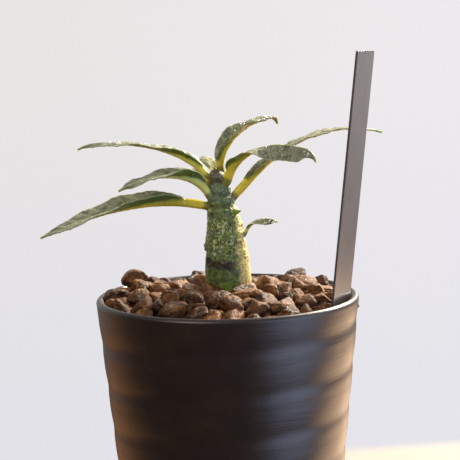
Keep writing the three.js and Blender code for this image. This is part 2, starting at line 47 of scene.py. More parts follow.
mm = 0.001
rim = 92.0  # height of the pot's rim, which heights on the plant are measured from

# Camera

camera = {
    "lens": 105.0,
    "sensor": 36.0,
    "x": 1.4,
    "distance": 463.1,
    "aboveRim": 83.8,
    "pitch": 7.517,  # down
    "roll": 1.39,  # the picture is turned this much counter-clockwise
}


def makeCamera():
    pitch = math.radians(camera["pitch"])
    roll = math.radians(camera["roll"])
    forward = Vector((0, math.cos(pitch), -math.sin(pitch)))
    level = Vector((1, 0, 0))
    upright = level.cross(forward)
    right = math.cos(roll) * level - math.sin(roll) * upright
    up = math.sin(roll) * level + math.cos(roll) * upright
    turn = Matrix((right, up, -forward)).transposed().to_4x4()
    place = Vector((camera["x"], -camera["distance"], rim + camera["aboveRim"])) * mm
    data = bpy.data.cameras.new("camera")
    data.lens = camera["lens"]
    data.sensor_width = camera["sensor"]
    data.clip_start = 0.01
    viewer = bpy.data.objects.new("camera", data)
    viewer.matrix_world = Matrix.Translation(place) @ turn
    bpy.context.scene.collection.objects.link(viewer)
    bpy.context.scene.camera = viewer


makeCamera()
print("camera")

# Shape helpers


def mix(a, b, share):
    return a + (b - a) * share


def smooth(low, high, value):
    t = np.clip((value - low) / (high - low), 0, 1)
    return t * t * (3 - 2 * t)


def polar(azimuth, radius, height):
    angle = np.radians(azimuth)
    parts = np.broadcast_arrays(radius * np.cos(angle), radius * np.sin(angle), height)
    return np.stack(parts, axis=-1).astype(float)


def normalised(vectors):
    return vectors / np.linalg.norm(vectors, axis=-1, keepdims=True)


# Value noise from -1 to 1: random numbers on a lattice with this spacing, smoothly mixed
def lumps(points, spacing, seed):
    lattice = np.random.default_rng(seed).uniform(-1, 1, (32, 32, 32))
    scaled = points / spacing
    cell = np.floor(scaled).astype(int)
    share = smooth(0, 1, scaled - cell)
    total = np.zeros(points.shape[:-1])
    for corner in np.ndindex(2, 2, 2):
        weight = np.prod(np.where(np.array(corner) == 1, share, 1 - share), axis=-1)
        x, y, z = np.moveaxis((cell + corner) % 32, -1, 0)
        total += weight * lattice[x, y, z]
    return total


# Faces of rings of points, with a last point but one that closes the first ring and a last
# point that closes the last ring. They point outwards when each ring turns to the left about
# the way from ring to ring.
def ringFaces(rings, sides):
    index = np.arange(rings * sides).reshape(rings, sides)
    after = np.roll(index, -1, axis=1)
    quads = np.stack([index[:-1], after[:-1], after[1:], index[1:]], axis=-1).reshape(-1, 4)
    start = np.full(sides, rings * sides)
    caps = [
        np.stack([start, after[0], index[0]], axis=-1),
        np.stack([start + 1, index[-1], after[-1]], axis=-1),
    ]
    return quads, np.concatenate(caps)


# Points and faces of many pieces as one list of points and one of faces
def gathered(parts):
    points = []
    faces = []
    total = 0
    for partPoints, partFaces in parts:
        faces += [(block + total).tolist() for block in partFaces]
        points.append(partPoints)
        total += len(partPoints)
    return np.concatenate(points), [face for block in faces for face in block]


def closedRings(rings):
    count, sides = rings.shape[:2]
    ends = np.stack([rings[0].mean(axis=0), rings[-1].mean(axis=0)])
    return np.concatenate([rings.reshape(-1, 3), ends]), ringFaces(count, sides)


# One visual piece on the body root, in place of the frame's nodes. Attributes hold one value
# for each point.
def addPiece(name, shape, finish, slotName, *nodes, attributes=None):
    points, faces = shape
    mesh = bpy.data.meshes.new(name)
    mesh.from_pydata((points * mm).tolist(), [], faces)
    mesh.polygons.foreach_set("use_smooth", np.full(len(mesh.polygons), True))
    for key, values in (attributes or {}).items():
        layer = mesh.attributes.new(key, "FLOAT", "POINT")
        layer.data.foreach_set("value", np.asarray(values, np.float32))
    mesh.materials.append(finish.material)
    piece = bpy.data.objects.new(name, mesh)
    bpy.context.scene.collection.objects.link(piece)
    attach(piece, "root")
    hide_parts(*nodes)
    return piece


# Shader helpers


# A socket in a material. Arithmetic on it, from either side, adds Math nodes.
class Value:
    def __init__(self, finish, socket):
        self.finish = finish
        self.socket = socket

    def math(self, operation, *others):
        return self.finish.math(operation, self, *others)

    def __add__(self, other):
        return self.finish.math("ADD", self, other)

    def __radd__(self, other):
        return self.finish.math("ADD", other, self)

    def __sub__(self, other):
        return self.finish.math("SUBTRACT", self, other)

    def __rsub__(self, other):
        return self.finish.math("SUBTRACT", other, self)

    def __mul__(self, other):
        return self.finish.math("MULTIPLY", self, other)

    def __rmul__(self, other):
        return self.finish.math("MULTIPLY", other, self)

    def __truediv__(self, other):
        return self.finish.math("DIVIDE", self, other)


# A colour as a screen shows it, from 0 to 255, made linear
def colour(red, green, blue):
    shares = [value / 255 for value in (red, green, blue)]
    linear = [s / 12.92 if s <= 0.04045 else ((s + 0.055) / 1.055) ** 2.4 for s in shares]
    return (*linear, 1.0)


# Nodes of a material or of the world
class Shading:
    def __init__(self, tree):
        self.tree = tree

    def feed(self, node, sockets):
        for key, value in sockets.items():
            if isinstance(value, Value):
                self.tree.links.new(value.socket, node.inputs[key])
            else:
                node.inputs[key].default_value = value

    # Adds one node: its settings are set first, then its sockets get values or links
    def add(self, kind, settings, sockets, output=0):
        node = self.tree.nodes.new(kind)
        for key, value in settings.items():
            setattr(node, key, value)
        self.feed(node, sockets)
        return Value(self, node.outputs[output])

    def math(self, operation, *values):
        return self.add("ShaderNodeMath", {"operation": operation}, dict(enumerate(values)))

    # From 0 at low to 1 at high, smoothly; low may be the larger of the two
    def ramp(self, value, low, high):
        ends = {"Value": value, "From Min": low, "From Max": high}
        return self.add("ShaderNodeMapRange", {"interpolation_type": "SMOOTHSTEP"}, ends)

    def blend(self, share, a, b, mode="MIX"):
        settings = {"data_type": "RGBA", "blend_type": mode}
        return self.add("ShaderNodeMix", settings, {0: share, 6: a, 7: b}, 2)

    # One coordinate of a vector
    def axis(self, vector, letter):
        return self.add("ShaderNodeSeparateXYZ", {}, {0: vector}, letter)


class Finish(Shading):
    def __init__(self, name, **constants):
        self.material = bpy.data.materials.new(name)
        self.material.use_nodes = True
        super().__init__(self.material.node_tree)
        self.shader = self.tree.nodes["Principled BSDF"]
        self.use(**constants)

    def place(self):
        return self.add("ShaderNodeTexCoord", {}, {}, "Object")

    # The place along one axis, in millimetres
    def placeAlong(self, letter):
        return self.axis(self.place(), letter) / mm

    def attribute(self, name):
        return self.add("ShaderNodeAttribute", {"attribute_name": name}, {}, "Fac")

    def stretched(self, x, y, z):
        sockets = {0: self.place(), 1: (x, y, z)}
        return self.add("ShaderNodeVectorMath", {"operation": "MULTIPLY"}, sockets)

    # Noise whose lumps are about this many millimetres across
    def noise(self, size, detail=2.0, roughness=0.5, distortion=0.0, vector=None):
        sockets = {
            "Vector": vector or self.place(),
            "Scale": 1 / (size * mm),
            "Detail": detail,
            "Roughness": roughness,
            "Distortion": distortion,
        }
        return self.add("ShaderNodeTexNoise", {}, sockets)

    def cells(self, size, feature="F1"):
        sockets = {"Vector": self.place(), "Scale": 1 / (size * mm)}
        return self.add("ShaderNodeTexVoronoi", {"feature": feature}, sockets)

    # A bump that stands up this many millimetres where height is 1
    def bump(self, height, depth, normal=None):
        sockets = {"Height": height, "Distance": depth * mm}
        if normal:
            sockets["Normal"] = normal
        return self.add("ShaderNodeBump", {}, sockets)

    def use(self, **sockets):
        self.feed(self.shader, {key.replace("_", " "): v for key, v in sockets.items()})
        return self


# Pot

pot = {
    "height": rim,
    "rimRadius": 45.98,
    "footRadius": 37.0,
    "wall": 2.7,
    "floor": 4.0,
    "footBevel": 1.5,
    "innerFillet": 5.0,
    "centreRing": 4.0,  # radius of the innermost ring, above and below the floor
    "flatRings": 12,
    "bendRings": 9,
    "lipRings": 20,
    "innerRows": 40,
    "lipFrom": 8.0,  # the rim's bend starts this many degrees above level
    "groovePitch": 15.0,  # the throwing groove climbs this much in a turn
    "grooveStart": 84.4,  # its height at azimuth 0
    "grooveDepth": 0.3,
    "grooveSharpness": 2.2,
    "faintGroove": 0.014,
    "plainBand": 8.0,
    "plainFoot": 4.0,
    "wallRows": 200,
    "sides": 192,
    "drainHoles": 4,
    "drainRadius": 4.5,
    "drainCircle": 18.0,
    "body": colour(36, 27, 24),
    "patch": colour(45, 32, 26),
    "speck": colour(60, 47, 38),
    "roughness": 0.3,
    "rimRoughness": 0.1,  # how much rougher the rim is
}


def wallRadius(height):
    return mix(pot["footRadius"], pot["rimRadius"], height / pot["height"])


def cavityRadius(height):
    return wallRadius(height) - pot["wall"]


# The wall's profile, from the foot over the rim and down to the floor inside, as radii and
# heights, and which of its points are outside, below the rim's bend
def potProfile():
    lip = pot["wall"] / 2
    top = pot["height"] - lip
    flat = pot["flatRings"]
    quarter = np.radians(np.linspace(0, 90, pot["bendRings"]))
    bevel = pot["footBevel"]
    fillet = pot["innerFillet"]
    wall = np.linspace(bevel, top, pot["wallRows"])
    lipTurn = np.radians(np.linspace(pot["lipFrom"], 180, pot["lipRings"]))
    inner = np.linspace(top, pot["floor"] + fillet, pot["innerRows"])
    foot = wallRadius(bevel) - bevel
    filletHeight = pot["floor"] + fillet * (1 - np.sin(quarter))
    floorEdge = cavityRadius(pot["floor"]) - fillet
    stretches = [
        (np.linspace(pot["centreRing"], foot, flat), np.zeros(flat)),
        (foot + bevel * np.sin(quarter), bevel * (1 - np.cos(quarter))),
        (wallRadius(wall), wall),
        (wallRadius(top) - lip + lip * np.cos(lipTurn), top + lip * np.sin(lipTurn)),
        (cavityRadius(inner), inner),
        (cavityRadius(filletHeight) - fillet * (1 - np.cos(quarter)), filletHeight),
        (np.linspace(floorEdge, pot["centreRing"], flat), np.full(flat, pot["floor"])),
    ]
    radius = np.concatenate([r for r, h in stretches])
    height = np.concatenate([h for r, h in stretches])
    outside = np.arange(len(radius)) < sum(len(r) for r, h in stretches[:3])
    return radius, height, outside


# The profile turned about the axis, with the spiral groove pressed into its outside. Across
# the groove its depth is a cosine bell to the power of its sharpness. Three faint grooves run
# to each turn of it.
def potShape():
    radius, height, outside = potProfile()
    angle = np.linspace(0, 2 * np.pi, pot["sides"], endpoint=False)
    radius, angle = np.meshgrid(radius, angle, indexing="ij")
    height = np.broadcast_to(height[:, None], radius.shape)
    turns = (height - pot["grooveStart"]) / pot["groovePitch"] - angle / (2 * np.pi)
    bell = ((1 + np.cos(2 * np.pi * turns)) / 2) ** pot["grooveSharpness"]
    fade = smooth(0, pot["plainBand"], pot["height"] - height)
    fade = fade * smooth(0, pot["plainFoot"], height)
    faint = pot["faintGroove"] * (1 + np.cos(2 * np.pi * 3 * turns + 1))
    radius = radius - (pot["grooveDepth"] * bell + faint) * fade * outside[:, None]
    rings = np.stack([radius * np.cos(angle), radius * np.sin(angle), height], axis=-1)
    return gathered([closedRings(rings)])


def potFinish():
    finish = Finish("stoneware", Roughness=pot["roughness"], Specular_IOR_Level=0.5)
    cloud = finish.noise(14, 3, 0.6)
    grain = finish.noise(0.35, 2)
    specks = finish.ramp(finish.noise(0.8, 1), 0.70, 0.78)
    tone = finish.blend(finish.ramp(cloud, 0.35, 0.7), pot["body"], pot["patch"])
    tone = finish.blend(specks * 0.35, tone, pot["speck"])
    lines = finish.noise(1.0, 3, 0.6, 0, finish.stretched(0.05, 0.05, 1.2))
    normal = finish.bump(lines, 0.06)
    normal = finish.bump(grain, 0.02, normal)
    lip = finish.ramp(finish.placeAlong("Z"), rim - 1.8, rim - 0.8)
    gloss = pot["roughness"] + 0.10 * (finish.noise(5, 3) - 0.5) + pot["rimRoughness"] * lip
    return finish.use(Base_Color=tone, Roughness=gloss, Normal=normal)


# The turned shape with the drain holes cut through its floor
def makePot():
    piece = addPiece("pot_body", potShape(), potFinish(), "pot", "pot")
    cutters = bmesh.new()
    for i in range(pot["drainHoles"]):
        x, y, z = polar(360 / pot["drainHoles"] * (i + 0.5), pot["drainCircle"], 0) * mm
        bmesh.ops.create_cone(
            cutters,
            cap_ends=True,
            segments=48,
            radius1=pot["drainRadius"] * mm,
            radius2=pot["drainRadius"] * mm,
            depth=3 * pot["floor"] * mm,
            matrix=Matrix.Translation((x, y, z)),
        )
    mesh = bpy.data.meshes.new("drain_cutter")
    cutters.to_mesh(mesh)
    cutters.free()
    cutter = bpy.data.objects.new("drain_cutter", mesh)
    bpy.context.scene.collection.objects.link(cutter)
    cut = piece.modifiers.new("drain", "BOOLEAN")
    cut.object = cutter
    cut.solver = "EXACT"
    ready = piece.evaluated_get(bpy.context.evaluated_depsgraph_get())
    whole = piece.data
    piece.data = bpy.data.meshes.new_from_object(ready)
    piece.data.name = "pot_body"
    piece.modifiers.clear()
    bpy.data.meshes.remove(whole)
    bpy.data.objects.remove(cutter)
    bpy.data.meshes.remove(mesh)
    piece.data.set_sharp_from_angle(angle=math.radians(50))


makePot()
print("pot")

# Drain screen, the frame's own net

screen = {"thickness": 0.8, "plastic": colour(30, 30, 31), "worn": colour(52, 51, 50)}


def screenFinish():
    finish = Finish("net_plastic", Roughness=0.55)
    tone = finish.blend(finish.ramp(finish.noise(3, 3), 0.45, 0.7), screen["plastic"], screen["worn"])
    gloss = 0.5 + 0.2 * finish.noise(1.5, 2)
    return finish.use(Base_Color=tone, Roughness=gloss, Normal=finish.bump(finish.noise(0.3), 0.02))


def dressScreen():
    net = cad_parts["drain_screen"]
    net.data.materials.clear()
    net.data.materials.append(screenFinish().material)


dressScreen()
print("drain screen")

# Stem

stem = {
    "lean": 2.8,
    "footShift": 0.4,
    "collars": (31.5, 35.5, 39.5),
    "collarDepth": 0.42,
    "collarWidth": 0.8,
    "buriedRows": 30,
    "rows": 320,
    "sides": 192,
    "knobsFrom": 9.0,
    "knobsTo": 14.0,
    "knobs": 0.34,
    "wrinkles": 0.3,
    "fleckRelief": 0.16,
    "grain": 0.05,
    "scarSwell": 0.55,
    "scarDimple": 0.3,
    "paleFrom": (10.5, 15),  # where the flecks' colour begins and is full, above the rim
    "blueAt": (31, 34),
    "huskAt": (38.0, 41.5),
    "paintedLitFrom": (4.0, 5.8),  # how far to the right the painted light of the lit side begins and is full
    "paintedLitTop": (38, 30),
    "skin": colour(104, 124, 38),
    "deep": colour(48, 56, 20),
    "blue": colour(92, 112, 92),
    "fleck": colour(200, 200, 148),
    # The next two colours paint the right side, where the key light falls, pale cream with green:
    # painted light
    "paintedLitSide": colour(236, 216, 142),
    "paintedLitGreen": colour(160, 156, 80),
    "ring": colour(40, 25, 18),
    "ringHeight": 11.2,
    "ringWidth": 2.2,
    "scarTone": colour(116, 112, 78),
    "dry": colour(120, 108, 86),
    "dryDark": colour(58, 48, 36),
    "young": colour(112, 140, 42),
}

# Stem radius by height above the rim, from the tip of the tap root to the crown
stemOutline = [
    (-44, 0.8), (-30, 2.6), (-16, 5.2), (-5, 8.0), (5, 8.1), (16, 7.2), (23, 6.1),
    (28, 5.5), (33, 4.6), (38.5, 3.5), (41.5, 3.0), (43, 2.2), (44, 1.0),
]

scar = {"count": 10, "lowest": 13.0, "highest": 30.0, "first": -100.0, "turn": 137.5}
bud = {
    "azimuth": -38.0,
    "foot": 29.0,
    "sunk": 0.95,
    "radius": 1.15,
    "length": 3.85,
    "rise": 0.15,
    "curl": 0.12,
}
scale = {
    "azimuths": (-120, -75, 60, 128, 215),
    "foot": 42.7,
    "inset": 1.1,
    "sunk": 2.1,
    "radius": 0.75,
    "length": 3.99,
    "spread": 0.35,
    "curl": 0.18,  # to one side and the other in turn
}
stipule = {
    "count": 10,
    "foot": (40.4, 43.2),
    "length": (0.9, 2.0),
    "radius": (0.26, 0.42),
    "spread": 0.55,
    "inset": 0.3,
    "curl": 0.3,
    "turn": 137.5,
    "seed": 61,
}


# A smooth curve through the outline's points: each stretch is a cubic whose slopes at its ends
# are half the step between the points on either side
def stemCurve():
    points = np.array(stemOutline, float)
    held = np.vstack([points[:1], points, points[-1:]])
    a, b, c, d = held[:-3], held[1:-2], held[2:-1], held[3:]
    t = np.linspace(0, 1, 10, endpoint=False)[:, None, None]
    curve = b + 0.5 * (c - a) * t
    curve = curve + (a - 2.5 * b + 2 * c - 0.5 * d) * t**2
    curve = curve + (1.5 * (b - c) + 0.5 * (d - a)) * t**3
    curve = np.concatenate([curve.transpose(1, 0, 2).reshape(-1, 2), points[-1:]])
    return curve[:, 0], curve[:, 1]


curveHeights, curveRadii = stemCurve()


def stemRadius(height):
    return np.interp(height, curveHeights, curveRadii)


def stemShift(height):
    climbed = np.maximum(height, 0) / stemOutline[-1][0]
    return stem["footShift"] - (stem["footShift"] + stem["lean"]) * climbed**2


def onStem(azimuth, height, depth=0.0):
    place = polar(azimuth, stemRadius(height) - depth, rim + height)
    place[..., 0] += stemShift(height)
    return place


# Distance on the skin from a scar's centre, in millimetres, to the nearest scar
def scarDistance(angle, height):
    nearest = np.full(np.broadcast(angle, height).shape, 99.0)
    for i in range(scar["count"]):
        middle = mix(scar["lowest"], scar["highest"], i / (scar["count"] - 1))
        turned = np.radians(scar["first"] + i * scar["turn"])
        around = np.angle(np.exp(1j * (angle - turned))) * stemRadius(middle)
        nearest = np.minimum(nearest, np.hypot(around, height - middle))
    return nearest


# Skin radius: the outline less the collars' necks, plus knobs, flecks and ring-shaped scars
def stemSkin():
    low, high = stemOutline[0][0], stemOutline[-1][0]
    height = np.concatenate([
        np.linspace(low, -2, stem["buriedRows"], endpoint=False),
        mix(-2, high, np.linspace(0, 1, stem["rows"]) ** 0.9),
    ])
    angle = np.linspace(0, 2 * np.pi, stem["sides"], endpoint=False)
    height, angle = np.meshgrid(height, angle, indexing="ij")
    radius = stemRadius(height)
    skin = np.stack([radius * np.cos(angle), radius * np.sin(angle), height], axis=-1)
    knobbly = smooth(stem["knobsFrom"], stem["knobsTo"], height)
    upright = skin * (1.1, 1.1, 0.62)
    flecks = smooth(0.1, 0.45, lumps(upright, 0.4, 3) + 0.5 * lumps(skin, 1.9, 4) - 0.14)
    flecks = flecks * mix(0.05, 1, knobbly) * mix(1, 0.35, smooth(30, 33, height))
    knobs = stem["knobs"] * lumps(skin, 2.6, 1)
    knobs = knobs + stem["wrinkles"] * (0.4 - np.abs(lumps(skin, 1.2, 2)))
    crown = 1 - smooth(42, 44, height)
    grain = stem["grain"] * lumps(skin * (1, 1, 0.25), 1.1, 5)
    relief = knobs * knobbly + stem["fleckRelief"] * flecks + grain
    necks = np.zeros_like(height)
    for collar in stem["collars"]:
        bend = 0.35 * np.sin(angle * 2 + collar)
        necks += np.exp(-(((height - collar + bend) / stem["collarWidth"]) ** 2))
        necks -= 0.45 * np.exp(-(((height - collar + bend + 1.5) / 0.6) ** 2))
    reach = scarDistance(angle, height)
    scars = stem["scarSwell"] * smooth(1.6, 1.0, reach)
    scars = scars - stem["scarDimple"] * smooth(0.85, 0.35, reach)
    radius = radius + crown * (relief + scars) - stem["collarDepth"] * necks * crown
    points = np.stack([
        radius * np.cos(angle) + stemShift(height),
        radius * np.sin(angle),
        rim + height,
    ], axis=-1)
    return points, flecks, smooth(1.7, 1.1, reach), np.clip(necks, 0, 1)


# A pointed spike that bends up: rings round a curve from its foot, thickest near a third
def spike(foot, direction, length, radius, curl):
    share = np.linspace(0, 1, 14)
    forward = normalised(np.asarray(direction, float))
    side = normalised(np.cross(forward, (0.1, 0.2, 1.0)))
    up = np.cross(side, forward)
    spine = foot + np.outer(share * length, forward) + np.outer(curl * length * share**2, up)
    girth = radius * (1 - share**1.6) * (0.75 + 0.9 * share * (1 - share)) + 0.06
    angle = np.linspace(0, 2 * np.pi, 12, endpoint=False)
    ring = np.cos(angle)[:, None] * side + np.sin(angle)[:, None] * up
    rings = spine[:, None, :] + girth[:, None, None] * ring[None]
    return closedRings(rings)


def stemFinish():
    finish = Finish("stem_skin", Subsurface_Weight=0.25, Subsurface_Scale=1.2 * mm)
    finish.use(Subsurface_Radius=(1.0, 0.9, 0.3), Specular_IOR_Level=0.45)
    fleck = finish.attribute("fleck")
    scars = finish.attribute("scar")
    neck = finish.attribute("neck")
    dry = finish.attribute("dry")
    young = finish.attribute("young")
    height = finish.placeAlong("Z") - rim
    side = finish.placeAlong("X")
    grown = finish.ramp(finish.noise(1.6, 4, 0.7), 0.36, 0.64)
    tone = finish.blend(grown, stem["deep"], stem["skin"])
    cool = finish.ramp(finish.noise(2.8, 3, 0.6), 0.46, 0.66) * finish.ramp(height, 4, 14)
    tone = finish.blend(cool * 0.55, tone, stem["blue"])
    tone = finish.blend(finish.ramp(height, *stem["blueAt"]) * 0.55, tone, stem["blue"])
    web = finish.ramp(finish.cells(1.0, "DISTANCE_TO_EDGE"), 0.12, 0.03)
    pale = finish.math("MAXIMUM", fleck, web * finish.ramp(finish.noise(1.1, 2), 0.5, 0.7))
    broken = finish.ramp(finish.noise(0.5, 3), 0.3, 0.6)
    pale = pale * finish.ramp(height, *stem["paleFrom"]) * broken
    tone = finish.blend(pale * 0.9, tone, stem["fleck"])
    # Painted light: the right side, which faces the key light, is painted pale cream with green mottle
    patchy = 6.0 * (finish.noise(1.7, 4, 0.75) - 0.5)
    paintedLitSide = finish.ramp(side + 0.06 * height + patchy, *stem["paintedLitFrom"])
    paintedLitMottle = finish.ramp(finish.noise(0.9, 4, 0.75), 0.36, 0.6)
    paintedLitTone = finish.blend(paintedLitMottle, stem["paintedLitGreen"], stem["paintedLitSide"])
    tone = finish.blend(paintedLitSide * finish.ramp(height, *stem["paintedLitTop"]) * 0.9, tone, paintedLitTone)
    ragged = 4.2 * (finish.noise(1.7, 5, 0.8) - 0.5)
    away = (height - stem["ringHeight"] + ragged + 0.12 * side).math("ABSOLUTE")
    ring = finish.ramp(away, stem["ringWidth"], 0.55 * stem["ringWidth"])
    ring = ring * (1 - 0.6 * finish.ramp(finish.noise(0.9, 3, 0.6), 0.5, 0.66))
    tone = finish.blend(ring * finish.ramp(side, 3.6, 1.2), tone, stem["ring"])
    tone = finish.blend(scars * 0.4, tone, stem["scarTone"])
    flaky = finish.ramp(finish.noise(0.7, 4, 0.7), 0.42, 0.58)
    husk = finish.blend(flaky, stem["dryDark"], stem["dry"])
    worn = finish.ramp(finish.noise(1.1, 3, 0.7), 0.3, 0.5)
    worn = finish.ramp(height, *stem["huskAt"]) * worn
    tone = finish.blend(worn, tone, husk)
    tone = finish.blend(neck * 0.45, tone, stem["ring"])
    tone = finish.blend(dry, tone, husk)
    tone = finish.blend(young, tone, stem["young"])
    normal = finish.bump(finish.noise(0.5, 4, 0.7), 0.16)
    gloss = 0.5 + 0.25 * (finish.noise(1.2, 2) - 0.5) + 0.2 * fleck
    return finish.use(Base_Color=tone, Roughness=gloss, Normal=normal)


# The stem's skin, then the bud, then the dry scales and stipules at the crown. The marks young
# and dry are 1 on the bud and on what is dry.
def makeStem():
    skin, fleck, scars, neck = stemSkin()
    budFoot = onStem(bud["azimuth"], bud["foot"], bud["sunk"])
    budWay = polar(bud["azimuth"], 1, bud["rise"])
    parts = [
        closedRings(skin),
        spike(budFoot, budWay, bud["length"], bud["radius"], bud["curl"]),
    ]
    for turn, azimuth in enumerate(scale["azimuths"]):
        way = polar(azimuth, scale["spread"], 1)
        foot = onStem(azimuth, scale["foot"], scale["inset"]) - normalised(way) * scale["sunk"]
        curl = scale["curl"] * (-1) ** turn
        parts.append(spike(foot, way, scale["length"], scale["radius"], curl))
    draws = np.random.default_rng(stipule["seed"])
    for turn in range(stipule["count"]):
        azimuth = turn * stipule["turn"]
        way = polar(azimuth, stipule["spread"], 1)
        foot = onStem(azimuth, mix(*stipule["foot"], draws.random()), stipule["inset"])
        length = mix(*stipule["length"], draws.random())
        radius = mix(*stipule["radius"], draws.random())
        parts.append(spike(foot, way, length, radius, stipule["curl"]))
    points, faces = gathered(parts)
    counts = [len(part[0]) for part in parts]
    young = np.repeat([0, 1] + [0] * (len(parts) - 2), counts)
    dry = np.repeat([0, 0] + [1] * (len(parts) - 2), counts)
    padding = np.zeros(len(points) - skin[..., 0].size)
    marks = {
        "fleck": np.concatenate([fleck.ravel(), padding]),
        "scar": np.concatenate([scars.ravel(), padding]),
        "neck": np.concatenate([neck.ravel(), padding]),
        "young": young,
        "dry": dry,
    }
    addPiece("stem_skin", (points, faces), stemFinish(), "stem", "stem", attributes=marks)


makeStem()
print("stem")

# Soil

soil = {
    "crest": 3.6,  # the granules' tops stand this far above the rim
    "heap": 1.6,  # and this much more round the stem
    "heapWidth": 9.0,
    "edgeDrop": 5.0,
    "edgeWidth": 12.0,
    "backDrop": 2.4,
    "backSlope": (10.0, 28.0),
    "coreDepth": 5.0,
    "gap": 0.3,
    "centreRing": 2.0,
    "floorRings": 12,
    "wallRings": 30,
    "topRings": 60,
    "sides": 120,
}

granule = {
    "count": 82,
    "smallest": 3.1,
    "largest": 4.9,
    "sizeCurve": 1.3,
    "spiral": (0.04, 0.94),
    "scatter": 0.5,
    "rise": 0.7,
    "spacing": 0.9,
    "stretch": (0.95, 1.15),
    "squeeze": (0.85, 1.05),
    "flatness": 0.8,
    "tilt": 35.0,
    "passes": 60,
    "seed": 20,
    "facets": 9,
    "facetHeights": (0.58, 0.95),
    "outerBall": 1.35,
    "sharpness": 44.0,
    "fullness": 0.94,
    "lumps": 0.24,
    "pits": 0.3,
    "grain": 0.14,
    "shapeSeed": 7,
    "toneSeed": 8,
    "paintedUnderShade": 0.88,  # painted shade: how dark a granule is towards its underside
    "paintedBackShade": 0.85,  # and painted shade towards the back, where the soil is lower
    "dark": colour(40, 23, 13),
    "middle": colour(116, 73, 38),
    "light": colour(206, 156, 98),
    "red": colour(134, 82, 38),
}

# Granules that lie in fixed places: x, y, mean radius, and lift above the soil's top
placedGranules = [
    (-32.5, 13, 4.5, 3.8), (-33, 15, 4, 0), (-28, 6, 3.1, 0.8), (-37.5, 7, 4, 0.9),
    (-38, -4, 4.1, 0.6), (-30, -11, 3.3, 0), (-27.5, -21.5, 4.3, 0), (-24, -4, 3.1, 0),
    (-19.5, -15, 3.3, 0), (-18, -4, 3.5, 0.2), (-12.5, -18.5, 3.7, 0.5), (-18, -30, 4.6, 0),
    (-10, -34.5, 3.3, 0), (-12, 15.5, 4.1, 0), (-11.5, 28, 3.3, 0.3), (-4.5, -11.5, 3.7, 1),
    (-4.5, -18.5, 4.9, 0.5), (-4, -36.5, 3.1, 0), (2, -30.5, 4.5, 0), (4.5, -15, 4, 0.8),
    (11.5, -3, 4.4, 0.6), (13, -23.5, 4.9, 0.4), (9, -34, 3.7, 0), (20, -4.5, 4.6, 0.6),
    (19.5, -18, 3, 0), (20.5, -30, 3.7, 0), (26, -22, 3.5, 0.2), (20.5, 17, 4.3, 0.8),
    (25.5, 24, 4.4, 1.8), (29.5, -3, 3.6, 0.4), (31.5, -15, 4.3, 0.4), (33, 12, 3.3, 0.4),
]

# The granules keep clear of the label
label = {
    "width": 20.0,
    "length": 120.0,
    "thickness": 0.8,
    "azimuth": -21.7,
    "distance": 41.6,  # outer face from the pot's axis, at the rim
    "shift": 0.6,
    "lean": 6.5,
    "buried": 36.0,
    "corner": 0.7,
    "cornerPoints": 9,
    "edge": 0.16,
    "edgeRings": 13,
    "roughness": 0.2,
    "plastic": colour(78, 70, 66),
    "sheen": colour(90, 81, 77),
}


def soilTop(radius):
    wall = cavityRadius(rim)
    foot = stemRadius(0)
    heap = soil["heap"] * (1 - smooth(foot, foot + soil["heapWidth"], radius))
    drop = soil["edgeDrop"] * smooth(wall - soil["edgeWidth"], wall, radius)
    return rim + soil["crest"] + heap - drop


# How much lower the loose soil lies towards the back
def soilDrop(y):
    return soil["backDrop"] * smooth(*soil["backSlope"], y)


# The same draws for the same seed, each from 0 to 1
def seeded(seed):
    state = seed
    while True:
        state = (state * 1664525 + 1013904223) % 2**32
        yield state / 2**32


# Granules on a sunflower spiral, pushed apart until they just touch, clear of the wall, the
# stem and the label; the placed ones are held where they are
def placeGranules():
    random = seeded(granule["seed"])
    wall = cavityRadius(rim) - soil["gap"]
    golden = math.pi * (3 - math.sqrt(5))
    spots = [[x, y, size, lift] for x, y, size, lift in placedGranules]
    for i in range(granule["count"]):
        radius = wall * math.sqrt(mix(*granule["spiral"], (i + 0.5) / granule["count"]))
        angle = i * golden + granule["scatter"] * next(random)
        size = mix(granule["smallest"], granule["largest"], next(random) ** granule["sizeCurve"])
        lift = granule["rise"] * (2 * next(random) - 1)
        spots.append([radius * math.cos(angle), radius * math.sin(angle), size, lift])
    held = len(placedGranules)
    for _ in range(granule["passes"]):
        for spot in spots[held:]:
            for rank, other in enumerate(spots):
                pushApart(spot, other, rank < held)
            keepInside(spot, wall)
    return np.array(spots)


# Half of the push goes to each, or all of it to the loose one
def pushApart(spot, other, otherHeld):
    dx = other[0] - spot[0]
    dy = other[1] - spot[1]
    distance = math.hypot(dx, dy)
    overlap = granule["spacing"] * (spot[2] + other[2]) - distance
    if spot is other or overlap <= 0:
        return
    push = overlap / distance
    own = 1 if otherHeld else 0.5
    spot[0] -= dx * push * own
    spot[1] -= dy * push * own
    other[0] += dx * push * (1 - own)
    other[1] += dy * push * (1 - own)


# Moves a granule in or out between the wall and the stem, then back from the label
def keepInside(spot, wall):
    radius = math.hypot(spot[0], spot[1])
    reach = granule["squeeze"][0] * spot[2]
    inner = float(stemRadius(0)) + reach
    kept = min(max(radius, inner), wall - spot[2]) / radius
    spot[0] *= kept
    spot[1] *= kept
    labelX, labelY, _ = polar(label["azimuth"], 1, 0)
    across = spot[0] * labelX + spot[1] * labelY
    along = spot[1] * labelX - spot[0] * labelY
    excess = across + reach - (label["distance"] - label["thickness"])
    if abs(along) < label["width"] / 2 + spot[2] and excess > 0:
        spot[0] -= excess * labelX
        spot[1] -= excess * labelY


